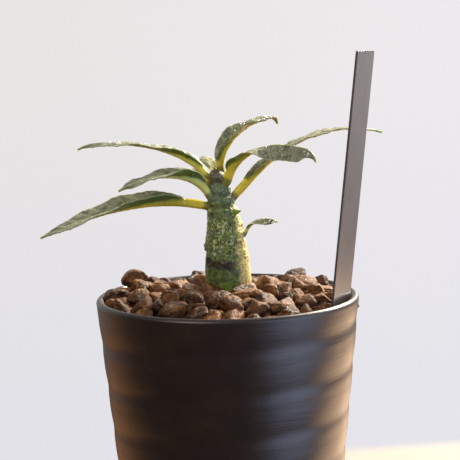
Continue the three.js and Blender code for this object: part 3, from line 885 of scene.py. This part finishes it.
# Each granule's scale and turn as one matrix, in the order of its draws
def granuleTurns(count):
    random = seeded(granule["seed"] + 1)
    turns = []
    for _ in range(count):
        stretch = mix(*granule["stretch"], next(random))
        squeeze = mix(*granule["squeeze"], next(random))
        tiltX, tiltY = [granule["tilt"] * (2 * next(random) - 1) for _ in range(2)]
        turnZ = 360 * next(random)
        turn = Matrix.Rotation(math.radians(turnZ), 3, "Z")
        turn = turn @ Matrix.Rotation(math.radians(tiltY), 3, "Y")
        turn = turn @ Matrix.Rotation(math.radians(tiltX), 3, "X")
        turns.append(turn @ Matrix.Diagonal((stretch, squeeze, granule["flatness"])))
    return np.array(turns)


def ballTemplate(level):
    ball = bmesh.new()
    bmesh.ops.create_icosphere(ball, subdivisions=level, radius=1)
    mesh = bpy.data.meshes.new("ball")
    ball.to_mesh(mesh)
    ball.free()
    points = np.empty(len(mesh.vertices) * 3)
    mesh.vertices.foreach_get("co", points)
    corners = np.empty(len(mesh.polygons) * 3, int)
    mesh.polygons.foreach_get("vertices", corners)
    bpy.data.meshes.remove(mesh)
    return normalised(points.reshape(-1, 3)), corners.reshape(-1, 3)


# Broken lumps: along each direction the surface lies where a soft minimum of flat facets and
# an outer ball puts it
def brokenLumps(ways, count, facets, seed):
    draws = np.random.default_rng(seed)
    normals = normalised(draws.normal(size=(count, facets, 3)))
    heights = draws.uniform(*granule["facetHeights"], (count, facets))
    power = granule["sharpness"]
    facing = np.clip(np.einsum("vc,kfc->kvf", ways, normals), 0, None)
    pressed = ((facing / heights[:, None, :]) ** power).sum(axis=-1)
    return (pressed + granule["outerBall"] ** -power) ** (-1 / power)


# Each granule is a ball whose radius is its broken lump's, plus noise, scaled and turned. The
# mark pit is the noise, and low runs from 0 at a granule's top to 1 at its underside.
def granuleShapes():
    spots = placeGranules()
    ways, corners = ballTemplate(4)
    count = len(spots)
    reach = brokenLumps(ways, count, granule["facets"], granule["shapeSeed"])
    reach = granule["fullness"] * reach / reach.mean(axis=1, keepdims=True)
    local = ways[None] * reach[..., None] * spots[:, 2, None, None]
    offsets = np.arange(count)[:, None, None] * (17.3, 5.1, 9.7)
    rough = granule["lumps"] * lumps(local + offsets, 2.6, 11)
    rough = rough + granule["pits"] * (0.28 - np.abs(lumps(local + offsets, 1.4, 12)))
    rough = rough + granule["grain"] * lumps(local + offsets, 0.7, 13)
    local = local + ways[None] * rough[..., None]
    turned = np.einsum("kij,kvj->kvi", granuleTurns(count), local)
    loose = np.arange(count) >= len(placedGranules)
    x, y, size, lift = spots.T
    half = granule["flatness"] * size
    level = soilTop(np.hypot(x, y)) + lift - loose * soilDrop(y) - half
    centres = np.stack([x, y, level], axis=-1)
    points = (turned + centres[:, None]).reshape(-1, 3)
    low = 0.5 - 0.5 * turned[..., 2] / half[:, None]
    faces = corners[None] + np.arange(count)[:, None, None] * len(ways)
    tones = np.random.default_rng(granule["toneSeed"]).uniform(0, 1, count)
    marks = {"tone": np.repeat(tones, len(ways)), "pit": rough.ravel(), "low": low.ravel()}
    return (points, faces.reshape(-1, 3).tolist()), marks


grit = {
    "count": 460,
    "smallest": 0.9,
    "largest": 2.1,
    "facets": 9,
    "rows": 6,
    "sides": 8,
    "seed": 31,
    "shapeSeed": 32,
    "inset": 1.2,
}


# Small broken grains in the gaps, on a core turned from the granules' level less the depth
def gritShapes():
    draws = np.random.default_rng(grit["seed"])
    wall = cavityRadius(rim) - soil["gap"]
    radius = (wall - grit["inset"]) * np.sqrt(draws.uniform(0.03, 1, grit["count"]))
    azimuth = draws.uniform(0, 360, grit["count"])
    size = draws.uniform(grit["smallest"], grit["largest"], grit["count"])
    level = soilTop(radius) - soil["coreDepth"] + size * draws.uniform(-0.2, 0.9, grit["count"])
    centres = polar(azimuth, radius, level)
    centres[:, 2] -= soilDrop(centres[:, 1])
    polarAngle = np.linspace(0, np.pi, grit["rows"] + 2)[1:-1, None]
    around = np.linspace(0, 2 * np.pi, grit["sides"], endpoint=False)[None]
    ways = np.stack(np.broadcast_arrays(
        np.sin(polarAngle) * np.cos(around),
        np.sin(polarAngle) * np.sin(around),
        -np.cos(polarAngle),
    ), axis=-1).reshape(-1, 3)
    ways = np.concatenate([ways, [[0, 0, -1], [0, 0, 1]]])
    reach = brokenLumps(ways, grit["count"], grit["facets"], grit["shapeSeed"])
    reach = reach * draws.uniform(0.9, 1.1, (grit["count"], 1))
    squash = draws.uniform(0.7, 1.15, (grit["count"], 1, 3))
    points = centres[:, None] + ways[None] * reach[..., None] * size[:, None, None] * squash
    blocks = ringFaces(grit["rows"], grit["sides"])
    steps = np.arange(grit["count"])[:, None, None] * len(ways)
    faces = [(block[None] + steps).reshape(-1, block.shape[1]) for block in blocks]
    tones = np.repeat(draws.uniform(0, 1, grit["count"]), len(ways))
    return (points.reshape(-1, 3), faces), tones


# The soil's inner body, turned about the axis: rings out over the drain screen, up the wall
# and in over the top, where noise makes it crumbly
def soilCore():
    bottom = pot["floor"] + screen["thickness"] + 2 * soil["gap"]
    low = bottom + pot["innerFillet"]
    wall = cavityRadius(rim) - soil["gap"]
    edge = soilTop(wall) - soil["coreDepth"]
    floorEdge = cavityRadius(bottom) - pot["innerFillet"] - soil["gap"]
    outward = np.linspace(soil["centreRing"], floorEdge, soil["floorRings"])
    rise = np.linspace(low, edge, soil["wallRings"])
    inward = np.linspace(wall, soil["centreRing"], soil["topRings"])
    radius = np.concatenate([outward, cavityRadius(rise) - soil["gap"], inward])
    topHeight = soilTop(inward) - soil["coreDepth"]
    height = np.concatenate([np.full(soil["floorRings"], bottom), rise, topHeight])
    angle = np.linspace(0, 2 * np.pi, soil["sides"], endpoint=False)
    radius, angle = np.meshgrid(radius, angle, indexing="ij")
    height = np.broadcast_to(height[:, None], radius.shape)
    rings = np.stack([radius * np.cos(angle), radius * np.sin(angle), height], axis=-1)
    top = np.arange(len(rings))[:, None] > soil["floorRings"] + soil["wallRings"]
    rings[..., 2] += top * (0.5 * lumps(rings, 1.6, 41) + 0.25 * lumps(rings, 0.8, 42) - 0.3)
    rings[..., 2] -= top * soilDrop(rings[..., 1])
    return closedRings(rings)


# Mottled brown clay, with a painted highlight on raised grains and painted shade in pits, low down and
# towards the back
def clayFinish():
    finish = Finish("baked_clay", Specular_IOR_Level=0.22)
    tone = finish.attribute("tone")
    pit = finish.attribute("pit")
    mottle = finish.noise(2.2, 4, 0.65, 0.4)
    fine = finish.noise(0.5, 4, 0.75)
    share = finish.ramp(mottle + 0.35 * (tone - 0.5), 0.22, 0.58)
    base = finish.blend(share, granule["dark"], granule["middle"])
    base = finish.blend(finish.ramp(tone, 0.7, 1.0) * 0.5, base, granule["red"])
    base = finish.blend(finish.ramp(fine, 0.52, 0.72) * 0.38, base, granule["light"])
    # Painted shade darkens the pits, and a painted highlight makes the raised grains paler
    base = finish.blend(finish.ramp(pit, -0.02, -0.3) * 0.85, base, granule["dark"])
    base = finish.blend(finish.ramp(pit, 0.06, 0.3) * 0.4, base, granule["light"])
    # Painted shade: each granule darkens towards its underside
    low = finish.ramp(finish.attribute("low"), 0.14, 0.62)
    base = finish.blend(low * granule["paintedUnderShade"], base, granule["dark"])
    # Painted shade: the granules darken towards the back
    back = finish.ramp(finish.placeAlong("Y"), *soil["backSlope"])
    base = finish.blend(back * granule["paintedBackShade"], base, granule["dark"])
    holes = finish.ramp(finish.cells(0.6), 0.08, 0.4)
    normal = finish.bump(finish.cells(1.6), 0.5)
    normal = finish.bump(finish.noise(0.9, 4, 0.75), 0.5, normal)
    normal = finish.bump(holes, 0.16, normal)
    normal = finish.bump(fine, 0.12, normal)
    gloss = 0.5 + 0.3 * (finish.noise(0.8, 2) - 0.5)
    return finish.use(Base_Color=base, Roughness=gloss, Normal=normal)


# The granules are one piece, and the grains with the core another
def makeSoil():
    finish = clayFinish()
    shape, marks = granuleShapes()
    addPiece("clay_granules", shape, finish, "soil", "soil", attributes=marks)
    core = soilCore()
    (grains, blocks), tones = gritShapes()
    points, faces = gathered([core, (grains, blocks)])
    # Painted shade in the gaps: a pit mark of -0.1 darkens the grains and the core a little, and the
    # core's tone of 0.2 darkens it more
    tone = np.concatenate([np.full(len(core[0]), 0.2), tones])
    marks = {"tone": tone, "pit": np.full(len(points), -0.1)}
    addPiece("clay_grit", (points, faces), finish, "soil", "soil", attributes=marks)


makeSoil()
print("soil")

# Leaves

# Each leaf leaves the stem's skin at foot, setting out at start degrees above level. Its arc
# runs from rise to fall, and bend says how early it turns over. hook turns the tip down. Beside
# the petiole both halves of the blade are lifted by fold, they lie flat at flat (a share of
# the length), and from there they hang, fully by droop at full, or at the tip. twist turns
# the blade about its midrib and lifts its left side. specks says from which to which share of
# the length there are white beads, painted highlights that stand in for glints, and how many.
leaves = [
    {"name": "leaf_upper_left", "azimuth": 180, "foot": 42, "start": 30, "length": 49,
     "rise": 85, "fall": -6.2, "bend": 0.3, "hook": 26, "halfWidth": 5.2, "petiole": 2,
     "stalk": 1.0, "fold": 40, "flat": 0.55, "droop": 26, "pale": 0.4, "specks": (0.2, 0.8, 60)},
    {"name": "leaf_back_left", "azimuth": 150, "foot": 38.5, "start": 45, "length": 29,
     "rise": 97, "fall": -22, "bend": 0.3, "hook": 0, "halfWidth": 4.8, "petiole": 4,
     "stalk": 0.9, "fold": 30, "flat": 0.5, "droop": 12},
    {"name": "leaf_front_left", "azimuth": 208, "foot": 35.6, "start": 45, "length": 37.5,
     "rise": 110, "fall": -24, "bend": 0.3, "hook": 0, "halfWidth": 6.2, "petiole": 3,
     "stalk": 1.15, "fold": 50, "flat": 0.75, "droop": 10, "pale": 1.0},
    {"name": "leaf_long_left", "azimuth": 184, "foot": 31.8, "start": 10, "length": 60,
     "rise": 26, "fall": -24, "bend": 0.42, "hook": 0, "halfWidth": 6.7, "petiole": 7,
     "stalk": 1.25, "fold": 52, "flat": 0.95, "droop": 6, "twist": -11, "specks": (0.2, 0.8, 12)},
    {"name": "leaf_top", "azimuth": 25, "foot": 43.8, "start": 92, "length": 33.5,
     "rise": 125, "fall": 2, "bend": 0.4, "hook": 83, "halfWidth": 4.7, "petiole": 1.5,
     "stalk": 0.95, "fold": 56, "flat": 0.9, "droop": 5, "specks": (0.3, 1.0, 46)},
    {"name": "leaf_back", "azimuth": 105, "foot": 40.5, "start": 58, "length": 27,
     "rise": 62, "fall": -25, "bend": 0.7, "hook": 10, "halfWidth": 3.6, "petiole": 3,
     "stalk": 0.8, "fold": 20, "flat": 0.2, "droop": 45},
    {"name": "leaf_front_right", "azimuth": -35, "foot": 40, "start": 40, "length": 44.5,
     "rise": 125, "fall": -20, "bend": 0.33, "hook": 66, "halfWidth": 6.8, "petiole": 3,
     "stalk": 1.3, "fold": 40, "flat": 0.3, "full": 0.72, "droop": 50, "twist": 6,
     "specks": (0.45, 1.0, 26)},
    {"name": "leaf_long_right", "azimuth": 8, "foot": 34.8, "start": 45, "length": 61,
     "rise": 47, "fall": -19, "bend": 1.5, "hook": 0, "halfWidth": 6.2, "petiole": 5,
     "stalk": 1.3, "fold": 38, "flat": 0.42, "droop": 4, "specks": (0.3, 0.9, 16)},
    {"name": "leaf_small_right", "azimuth": -10, "foot": 21.3, "start": 40, "length": 15,
     "rise": 98, "fall": -27, "bend": 0.64, "hook": 7, "halfWidth": 2.8, "petiole": 1.5,
     "stalk": 0.6, "fold": 30, "flat": 0.2, "full": 0.6, "droop": 42, "pale": 1.4,
     "specks": (0.6, 1.0, 60)},
]

blade = {
    "thickness": 0.62,
    "sink": 1.4,
    "rowStep": 0.24,
    "columns": 41,
    "setOut": (-1, 2.5),
    "hookFrom": 0.85,
    "baseCurve": 0.6,
    "tipCurve": 0.5,
    "margin": 0.25,
    "ribTip": 0.3,
    "ribTaper": 1.2,
    "keelTip": 0.05,
    "keelTaper": 2,
    "keelShare": 1.4,
    "keelReach": 1.6,
    "foldReach": 1.5,
    "veinSpacing": 4.6,
    "veinRake": 0.55,
    "puff": 0.3,
    "puffFrom": 3,
    "edgePuff": 0.3,
    "twistOver": (0.1, 0.5),
    "narrowTip": (0.3, 0.14),  # what the tip keeps of its width, and how much of the length it takes
    "tipRound": 0.7,
    "waviness": 0.35,
    "waveLength": 13,
    "frill": 0.05,
    "frillLength": 2.9,
    "crossSpacing": 2.3,
    "nerve": 0.1,
    "neckDepth": 0.16,
    "neckAt": 0.3,
    "neckReach": 2.6,
    "top": colour(62, 74, 44),
    "paleMottleAndSheen": colour(134, 134, 104),
    "veinTone": colour(176, 178, 142),
    "under": colour(72, 102, 26),
    "underFar": colour(138, 140, 62),
    "rib": colour(214, 196, 58),
    "ribOlive": colour(172, 160, 40),
    "ribPale": colour(206, 208, 112),
    "ribFar": colour(160, 158, 74),
    "ribTop": colour(156, 160, 96),
    "foot": colour(96, 100, 48),
    "tip": colour(124, 142, 48),
}

# The specks are white beads that stand in for glints on the leaves: painted highlights
speck = {"smallest": 0.12, "largest": 0.34, "glintWhite": colour(250, 250, 244), "seed": 90}
leafSeed = 50  # seeds of the leaves' noise, five for each leaf


# The midrib's direction this many millimetres from the stem's skin
def leafDirection(leaf, along):
    share = np.maximum(along / leaf["length"], 0)
    hooked = np.clip((share - blade["hookFrom"]) / (1 - blade["hookFrom"]), 0, 1)
    arc = mix(leaf["rise"], leaf["fall"], share ** leaf["bend"]) - leaf["hook"] * hooked
    pitch = np.radians(mix(leaf["start"], arc, smooth(*blade["setOut"], along)))
    return polar(leaf["azimuth"], np.cos(pitch), np.sin(pitch))


# Places along the midrib: the sum of short steps in the leaf's direction, from its sunk foot
def leafSpine(leaf, along):
    fine = np.linspace(-blade["sink"], leaf["length"], 3001)
    stride = fine[1] - fine[0]
    steps = leafDirection(leaf, (fine[:-1] + fine[1:]) / 2) * stride
    start = onStem(leaf["azimuth"], leaf["foot"])
    start = start - leafDirection(leaf, np.array(-blade["sink"])) * blade["sink"]
    places = start + np.concatenate([np.zeros((1, 3)), np.cumsum(steps, axis=0)])
    return np.stack([np.interp(along, fine, places[:, axis]) for axis in range(3)], axis=-1)


# From the petiole to the tip the width follows share^a (1 - share)^b, and is never less than
# the midrib with a narrow margin
def bladeHalfWidth(leaf, along, rib):
    def outline(share):
        return share ** blade["baseCurve"] * (1 - share) ** blade["tipCurve"]

    opened = np.clip((along - leaf["petiole"]) / (leaf["length"] - leaf["petiole"]), 0, 1)
    widest = blade["baseCurve"] / (blade["baseCurve"] + blade["tipCurve"])
    return np.maximum(outline(opened) / outline(widest) * leaf["halfWidth"], rib + blade["margin"])


# One leaf as closed rings round its midrib. A ring runs over the top skin from one margin to
# the other and back along the underside; both meet at the margin. The top skin is the spine
# plus the folded reach, a blister between each two side veins, and a wavy margin. The marks
# along and share tell how far out a point is, ribs and edge how far from the middle, in half
# widths of the midrib and of the blade. under is 1 on the underside, vein counts the side
# veins, and blade is 0 where there is only the petiole.
def leafShape(leaf, seed):
    rows = int((leaf["length"] + blade["sink"]) / blade["rowStep"])
    along = np.linspace(-blade["sink"], leaf["length"], rows)[:, None]
    spread = np.linspace(-1, 1, blade["columns"])
    spread = mix(np.sin(spread * np.pi / 2), spread, 0.55)
    place = leafSpine(leaf, along[:, 0])[:, None]
    side = polar(leaf["azimuth"] + 90, 1, 0)
    up = np.cross(leafDirection(leaf, along[:, 0]), side)[:, None]
    share = np.maximum(along / leaf["length"], 0)
    turn = np.radians(leaf.get("twist", 0) * smooth(*blade["twistOver"], share))[..., None]
    side, up = np.cos(turn) * side + np.sin(turn) * up, np.cos(turn) * up - np.sin(turn) * side
    rib = mix(blade["ribTip"], leaf["stalk"], (1 - share) ** blade["ribTaper"])
    keel = mix(blade["keelTip"], blade["keelShare"] * leaf["stalk"], (1 - share) ** blade["keelTaper"])
    outer = bladeHalfWidth(leaf, along, rib)
    tipShare, tipLength = blade["narrowTip"]
    outer = outer * mix(tipShare, 1, smooth(0, tipLength, 1 - share))
    outer = outer * np.sqrt(np.clip((leaf["length"] - along) / blade["tipRound"], 0.02, 1))
    reach = spread[None] * outer
    far = np.abs(reach)
    flank = np.sign(reach)
    lifted = leaf["fold"] * (1 - smooth(0, leaf["flat"], share))
    fold = np.radians(lifted - leaf["droop"] * smooth(leaf["flat"], leaf.get("full", 1), share))
    slope = fold * np.minimum(far / (blade["foldReach"] * rib), 1)
    wide = smooth(0, blade["puffFrom"], outer - rib)
    inward = np.clip((far - rib) / np.maximum(outer - rib, 0.1), 0, 1)
    across = mix(blade["edgePuff"], 1, np.sin(np.pi * inward) ** 0.8) * (far > rib)
    flat = np.stack(np.broadcast_arrays(along, reach, flank * 9.0), axis=-1)
    bend = 0.35 * lumps(flat, 3.5, seed)
    vein = (along - blade["veinRake"] * far + bend) / blade["veinSpacing"]
    cross = far / blade["crossSpacing"] + 0.5 * lumps(flat, 2.6, seed + 1)
    blister = np.abs(np.sin(np.pi * vein)) ** 0.7
    blister = blister * (0.72 + 0.28 * np.abs(np.sin(np.pi * cross)) ** 0.6)
    puff = blade["puff"] * wide * across * blister
    bumps = wide * (0.03 * lumps(flat, 0.75, seed + 2) + 0.08 * lumps(flat, 1.7, seed + 3))
    ripple = np.sin(2 * np.pi * along / blade["waveLength"] + flank)
    wave = blade["waviness"] * (far / leaf["halfWidth"]) ** 2 * ripple
    frill = np.sin(2 * np.pi * along / blade["frillLength"] + 2 * bend * flank)
    frill = blade["frill"] * wide * (far / outer) ** 5 * frill
    lift = far * np.sin(slope) + puff + bumps + wave + frill
    top = place + reach[..., None] * np.cos(slope)[..., None] * side + lift[..., None] * up
    out = np.cos(slope)[..., None] * up - (flank * np.sin(slope))[..., None] * side
    keeled = keel * np.maximum(1 - (far / (blade["keelReach"] * rib)) ** 2, 0)
    nerve = blade["nerve"] * wide * np.exp(-((np.sin(np.pi * vein) / 0.22) ** 2))
    body = blade["thickness"] * np.sqrt(np.clip(1 - (far / outer) ** 6, 0, 1))
    depth = body + (keeled + nerve) * np.sqrt(np.clip(1 - (far / outer) ** 4, 0, 1))
    bottom = top - depth[..., None] * out
    rings = np.concatenate([top, bottom[:, -2:0:-1]], axis=1)
    fromNeck = (along - blade["neckAt"]) / blade["neckReach"]
    neck = 1 - blade["neckDepth"] * np.exp(-(fromNeck**2))
    rings = place + (rings - place) * neck[..., None]
    points, faces = closedRings(rings)

    def around(values, below):
        values = np.broadcast_to(values, far.shape)
        ring = np.concatenate([values, np.broadcast_to(below, far.shape)[:, -2:0:-1]], axis=1)
        return np.concatenate([ring.ravel(), ring[0, :1], ring[-1, :1]])

    marks = {
        "along": around(along, along),
        "ribs": around(far / rib, far / rib),
        "edge": around(far / outer, far / outer),
        "under": around(0.0, 1.0),
        "vein": around(vein, vein),
        "blade": around(wide, wide),
        "share": around(share, share),
        "pale": around(leaf.get("pale", 0.0), leaf.get("pale", 0.0)),
    }
    return gathered([(points, faces)]), marks, rings[:, :blade["columns"]]


# White beads at random places of the upper skin, sunk in by a quarter of their size: painted
# highlights that stand in for glints
def leafSpecks(leaf, skin, draws):
    low, high, count = leaf["specks"]
    rows = (draws.uniform(low, high, count) * (len(skin) - 4)).astype(int)
    columns = draws.integers(1, blade["columns"] - 1, count)
    size = mix(speck["smallest"], speck["largest"], draws.random(count) ** 2)
    ways, corners = ballTemplate(1)
    centres = skin[rows, columns] + (0, 0, 0.5) * size[:, None]
    points = centres[:, None] + ways[None] * size[:, None, None]
    faces = corners[None] + np.arange(count)[:, None, None] * len(ways)
    return points.reshape(-1, 3), [faces.reshape(-1, 3)]


# A mottled top, whose pale mottle is partly a painted sheen, and a greener underside, pale
# along the side veins and their net, with the midrib, the petiole and the tip in colours of their own
def leafFinish():
    finish = Finish("leaf_skin", Subsurface_Weight=0.35, Subsurface_Scale=1.0 * mm)
    finish.use(Subsurface_Radius=(0.9, 1.0, 0.25), Specular_IOR_Level=0.55)
    ribs = finish.attribute("ribs")
    under = finish.attribute("under")
    vein = finish.attribute("vein")
    wide = finish.attribute("blade")
    edge = finish.attribute("edge")
    share = finish.attribute("share")
    mottle = finish.noise(2.5, 3, 0.6)
    away = vein.math("PINGPONG", 0.5)
    veinLine = finish.ramp(away, 0.10, 0.02)
    net = finish.ramp(finish.cells(1.1, "DISTANCE_TO_EDGE"), 0.12, 0.02)
    # The top's pale mottle is partly real dusty colour and partly a painted sheen
    top = finish.blend(finish.ramp(mottle, 0.3, 0.7), blade["top"], blade["paleMottleAndSheen"])
    lines = finish.math("MAXIMUM", veinLine * 0.5, 0.4 * net) * finish.ramp(share, 0.95, 0.7)
    top = finish.blend(lines, top, blade["veinTone"])
    far = finish.ramp(share, 0.45, 0.85)
    below = finish.blend(far, blade["under"], blade["underFar"])
    below = finish.blend(finish.ramp(mottle, 0.3, 0.7) * 0.25, below, blade["paleMottleAndSheen"])
    below = finish.blend(veinLine * 0.2, below, blade["underFar"])
    tone = finish.blend(under, top, below)
    ribLine = finish.ramp(ribs, 1.3 + 0.7 * under, 0.9)
    pale = finish.attribute("pale")
    shaded = finish.ramp(finish.noise(3.5, 3, 0.6), 0.4, 0.7)
    ribNear = finish.blend(shaded * 0.5, blade["rib"], blade["ribOlive"])
    ribNear = finish.blend(pale, ribNear, blade["ribPale"])
    ribTone = finish.blend(far, ribNear, blade["ribFar"])
    ribTone = finish.blend(under, blade["ribTop"], ribTone)
    tone = finish.blend(ribLine * (1 - 0.35 * (1 - under)), tone, ribTone)
    bare = 1 - finish.ramp(wide, 0.0, 0.25)
    tone = finish.blend(bare * finish.ramp(share, 0.6, 0.4), tone, ribNear)
    foot = finish.ramp(finish.attribute("along") + 1.6 * (mottle - 0.5), 2.0, 0.4)
    tone = finish.blend(foot * 0.85, tone, blade["foot"])
    tone = finish.blend(finish.ramp(share, 0.93, 0.99) * 0.8, tone, blade["tip"])
    tone = finish.blend(finish.ramp(edge, 0.93, 1.0) * wide * 0.4, tone, blade["veinTone"])
    normal = finish.bump(finish.noise(0.6, 3, 0.6), 0.03)
    gloss = 0.44 + 0.2 * (mottle - 0.5) + 0.06 * under
    return finish.use(Base_Color=tone, Roughness=gloss, Normal=normal)


# A piece for each leaf, and one with the beads of them all
def makeLeaves():
    finish = leafFinish()
    draws = np.random.default_rng(speck["seed"])
    beads = []
    for rank, leaf in enumerate(leaves):
        shape, marks, skin = leafShape(leaf, leafSeed + 5 * rank)
        addPiece(leaf["name"] + "_skin", shape, finish, "leaf", leaf["name"], attributes=marks)
        if "specks" in leaf:
            beads.append(leafSpecks(leaf, skin, draws))
    # The beads are white: painted highlights
    glintWhite = Finish("leaf_glint_white", Base_Color=speck["glintWhite"], Roughness=0.35)
    names = [leaf["name"] for leaf in leaves if "specks" in leaf]
    addPiece("leaf_beads", gathered(beads), glintWhite, "leaf", *names)


makeLeaves()
print("leaves")

# Plant label


# A plate with round corners: rings of its outline, first drawn in on one face, then out round
# the edge and in again on the other face
def labelShape():
    half = label["width"] / 2 - label["corner"]
    tall = label["length"] / 2 - label["corner"]
    count = label["cornerPoints"]
    turn = np.radians(np.linspace(0, 90, count))
    outline = []
    for rank, (x, y) in enumerate([(half, tall), (-half, tall), (-half, -tall), (half, -tall)]):
        angle = turn + rank * np.pi / 2
        corner = [np.full(count, x), np.full(count, y), np.cos(angle), np.sin(angle)]
        outline.append(np.stack(corner, axis=-1))
    outline = np.concatenate(outline)
    bend = np.radians(np.linspace(0, 180, label["edgeRings"]))
    inset = label["edge"] * (1 - np.sin(bend))
    flat = label["thickness"] / 2 - label["edge"]
    depth = flat * np.sign(np.cos(bend)) + label["edge"] * np.cos(bend)
    inset = np.concatenate([[3 * label["edge"]], inset, [3 * label["edge"]]])
    depth = np.concatenate([depth[:1], depth, depth[-1:]])
    drawn = (label["corner"] - inset)[:, None, None] * outline[None, :, 2:]
    flatPlace = outline[None, :, :2] + drawn
    across = flatPlace[..., 0] + label["shift"]
    upward = flatPlace[..., 1] + label["length"] / 2 - label["buried"]
    outward = np.broadcast_to(-depth[:, None], across.shape) - label["thickness"] / 2
    lean = math.radians(label["lean"])
    x = outward * math.cos(lean) + upward * math.sin(lean) + label["distance"]
    z = upward * math.cos(lean) - outward * math.sin(lean) + rim
    turned = math.radians(label["azimuth"])
    rings = np.stack([
        x * math.cos(turned) - across * math.sin(turned),
        x * math.sin(turned) + across * math.cos(turned),
        z,
    ], axis=-1)
    return gathered([closedRings(rings)])


def labelFinish():
    finish = Finish("label_plastic", Specular_IOR_Level=0.35)
    cloud = finish.noise(9, 3, 0.6)
    tone = finish.blend(finish.ramp(cloud, 0.35, 0.7) * 0.6, label["plastic"], label["sheen"])
    brushed = finish.noise(0.6, 3, 0.6, 0, finish.stretched(1, 1, 0.06))
    gloss = label["roughness"] + 0.08 * (brushed - 0.5) + 0.05 * (cloud - 0.5)
    return finish.use(Base_Color=tone, Roughness=gloss, Normal=finish.bump(brushed, 0.006))


addPiece("label_strip", labelShape(), labelFinish(), "label", "plant_label")
print("label")

# Floor, background and lights

stage = {
    "floorRadius": 520.0,
    "floorFade": (150.0, 400.0),
    "floorEdge": (0.15, 104.5, 9.0),  # slope and place of the table's far edge, and its blur
    "floor": colour(149, 143, 137),
    "floorGlow": 0.05,
    "above": (colour(233, 229, 229), colour(238, 234, 237)),  # left and right
    "below": (colour(227, 226, 232), colour(230, 229, 235)),
    "wall": (0.78, 0.77, 0.80),
    "wallBehind": (-0.1, 0.7),  # these pairs are where a ramp over a direction starts and ends
    "wallFoot": (-0.3, -0.05),
    "room": (0.05, 0.045, 0.042),
    "overhead": (0.42, 0.42, 0.44),
    "overheadFrom": (0.4, 0.9),
    "tableTop": (-0.205, -0.285),
    "backdropSides": (-0.17, 0.17),
    "backdropRise": (-0.28, 0.02),
}

# What the room's soft lights and lit surfaces add around the plant: azimuth and elevation of
# the middle, the angles from it where they are full and where they end, strength and colour.
# The last number is 1 for a lit table top, which ends at its far edge.
glows = [
    (-28, 2, 11, 42, 3.5, (0.60, 0.71, 1.0), 0),
    (42, -30, 11, 42, 3.8, (1.0, 0.67, 0.43), 1),
    (136, -46, 6, 44, 1.0, (1.0, 0.44, 0.17), 1),
]

# name: azimuth, distance and height of the panel, its width and height, watts and colour
lights = {
    "key": (50, 620, 430, 300, 300, 22.0, (1.0, 0.87, 0.70)),
    "fill": (-125, 700, 420, 300, 300, 3.0, (1.0, 0.92, 0.84)),
}


# A soft panel that faces the plant, unseen by the camera
def addLight(name, azimuth, distance, height, width, tall, watts, tint):
    data = bpy.data.lights.new(name, "AREA")
    data.shape = "RECTANGLE"
    data.size = width * mm
    data.size_y = tall * mm
    data.energy = watts
    data.color = tint
    place = Vector(polar(azimuth, distance, rim + height)) * mm
    lamp = bpy.data.objects.new(name, data)
    aim = place - Vector((0, 0, rim * mm))
    lamp.matrix_world = Matrix.Translation(place) @ aim.to_track_quat("Z", "Y").to_matrix().to_4x4()
    lamp.visible_camera = False
    bpy.context.scene.collection.objects.link(lamp)


# A pale table top, its far edge soft. It fades out well outside the pot's shadow.
def makeFloor():
    finish = Finish("floor", Roughness=0.8, Base_Color=stage["floor"])
    finish.use(Emission_Color=stage["floor"], Emission_Strength=stage["floorGlow"])
    reach = finish.add("ShaderNodeVectorMath", {"operation": "LENGTH"}, {0: finish.place()}, "Value")
    near, gone = [radius * mm for radius in stage["floorFade"]]
    slope, edge, blur = stage["floorEdge"]
    place = finish.placeAlong("Y") - slope * finish.placeAlong("X")
    inside = finish.ramp(place, edge + blur, edge - blur)
    finish.use(Alpha=finish.ramp(reach, gone, near) * inside)
    floor = bmesh.new()
    bmesh.ops.create_circle(floor, cap_ends=True, segments=96, radius=stage["floorRadius"] * mm)
    mesh = bpy.data.meshes.new("floor")
    floor.to_mesh(mesh)
    floor.free()
    mesh.materials.append(finish.material)
    piece = bpy.data.objects.new("floor", mesh)
    piece.visible_glossy = False
    bpy.context.scene.collection.objects.link(piece)


# The camera sees an even pale background. Around the plant are a pale wall behind it, a dark
# room in front, a paler ceiling, and the glows.
def makeWorld():
    world = bpy.data.worlds.new("world")
    bpy.context.scene.world = world
    world.use_nodes = True
    shading = Shading(world.node_tree)
    way = shading.add("ShaderNodeTexCoord", {}, {}, "Generated")
    upward = shading.axis(way, "Z")
    wall = shading.ramp(shading.axis(way, "Y"), *stage["wallBehind"])
    wall = wall * shading.ramp(upward, *stage["wallFoot"])
    tone = shading.blend(wall, (*stage["room"], 1), (*stage["wall"], 1))
    overhead = shading.ramp(upward, *stage["overheadFrom"])
    tone = shading.blend(overhead, tone, (*stage["overhead"], 1))
    table = shading.ramp(upward, *stage["tableTop"])
    for azimuth, elevation, full, end, strength, tint, lit in glows:
        lift = math.radians(elevation)
        middle = polar(azimuth, math.cos(lift), math.sin(lift))
        sockets = {0: way, 1: tuple(middle)}
        facing = shading.add("ShaderNodeVectorMath", {"operation": "DOT_PRODUCT"}, sockets, "Value")
        share = shading.ramp(facing, math.cos(math.radians(end)), math.cos(math.radians(full)))
        share = share * table if lit else share
        light = (*[strength * part for part in tint], 1)
        tone = shading.blend(share, tone, light, "ADD")
    seen = shading.add("ShaderNodeLightPath", {}, {}, "Is Camera Ray")
    rightward = shading.ramp(shading.axis(way, "X"), *stage["backdropSides"])
    below = shading.blend(rightward, *stage["below"])
    above = shading.blend(rightward, *stage["above"])
    backdrop = shading.blend(shading.ramp(upward, *stage["backdropRise"]), below, above)
    tone = shading.blend(seen, tone, backdrop)
    shading.feed(world.node_tree.nodes["Background"], {"Color": tone, "Strength": 1.0})


makeFloor()
makeWorld()
for name, values in lights.items():
    addLight(name, *values)
bpy.context.scene.view_settings.view_transform = "Standard"
print("stage and lights")
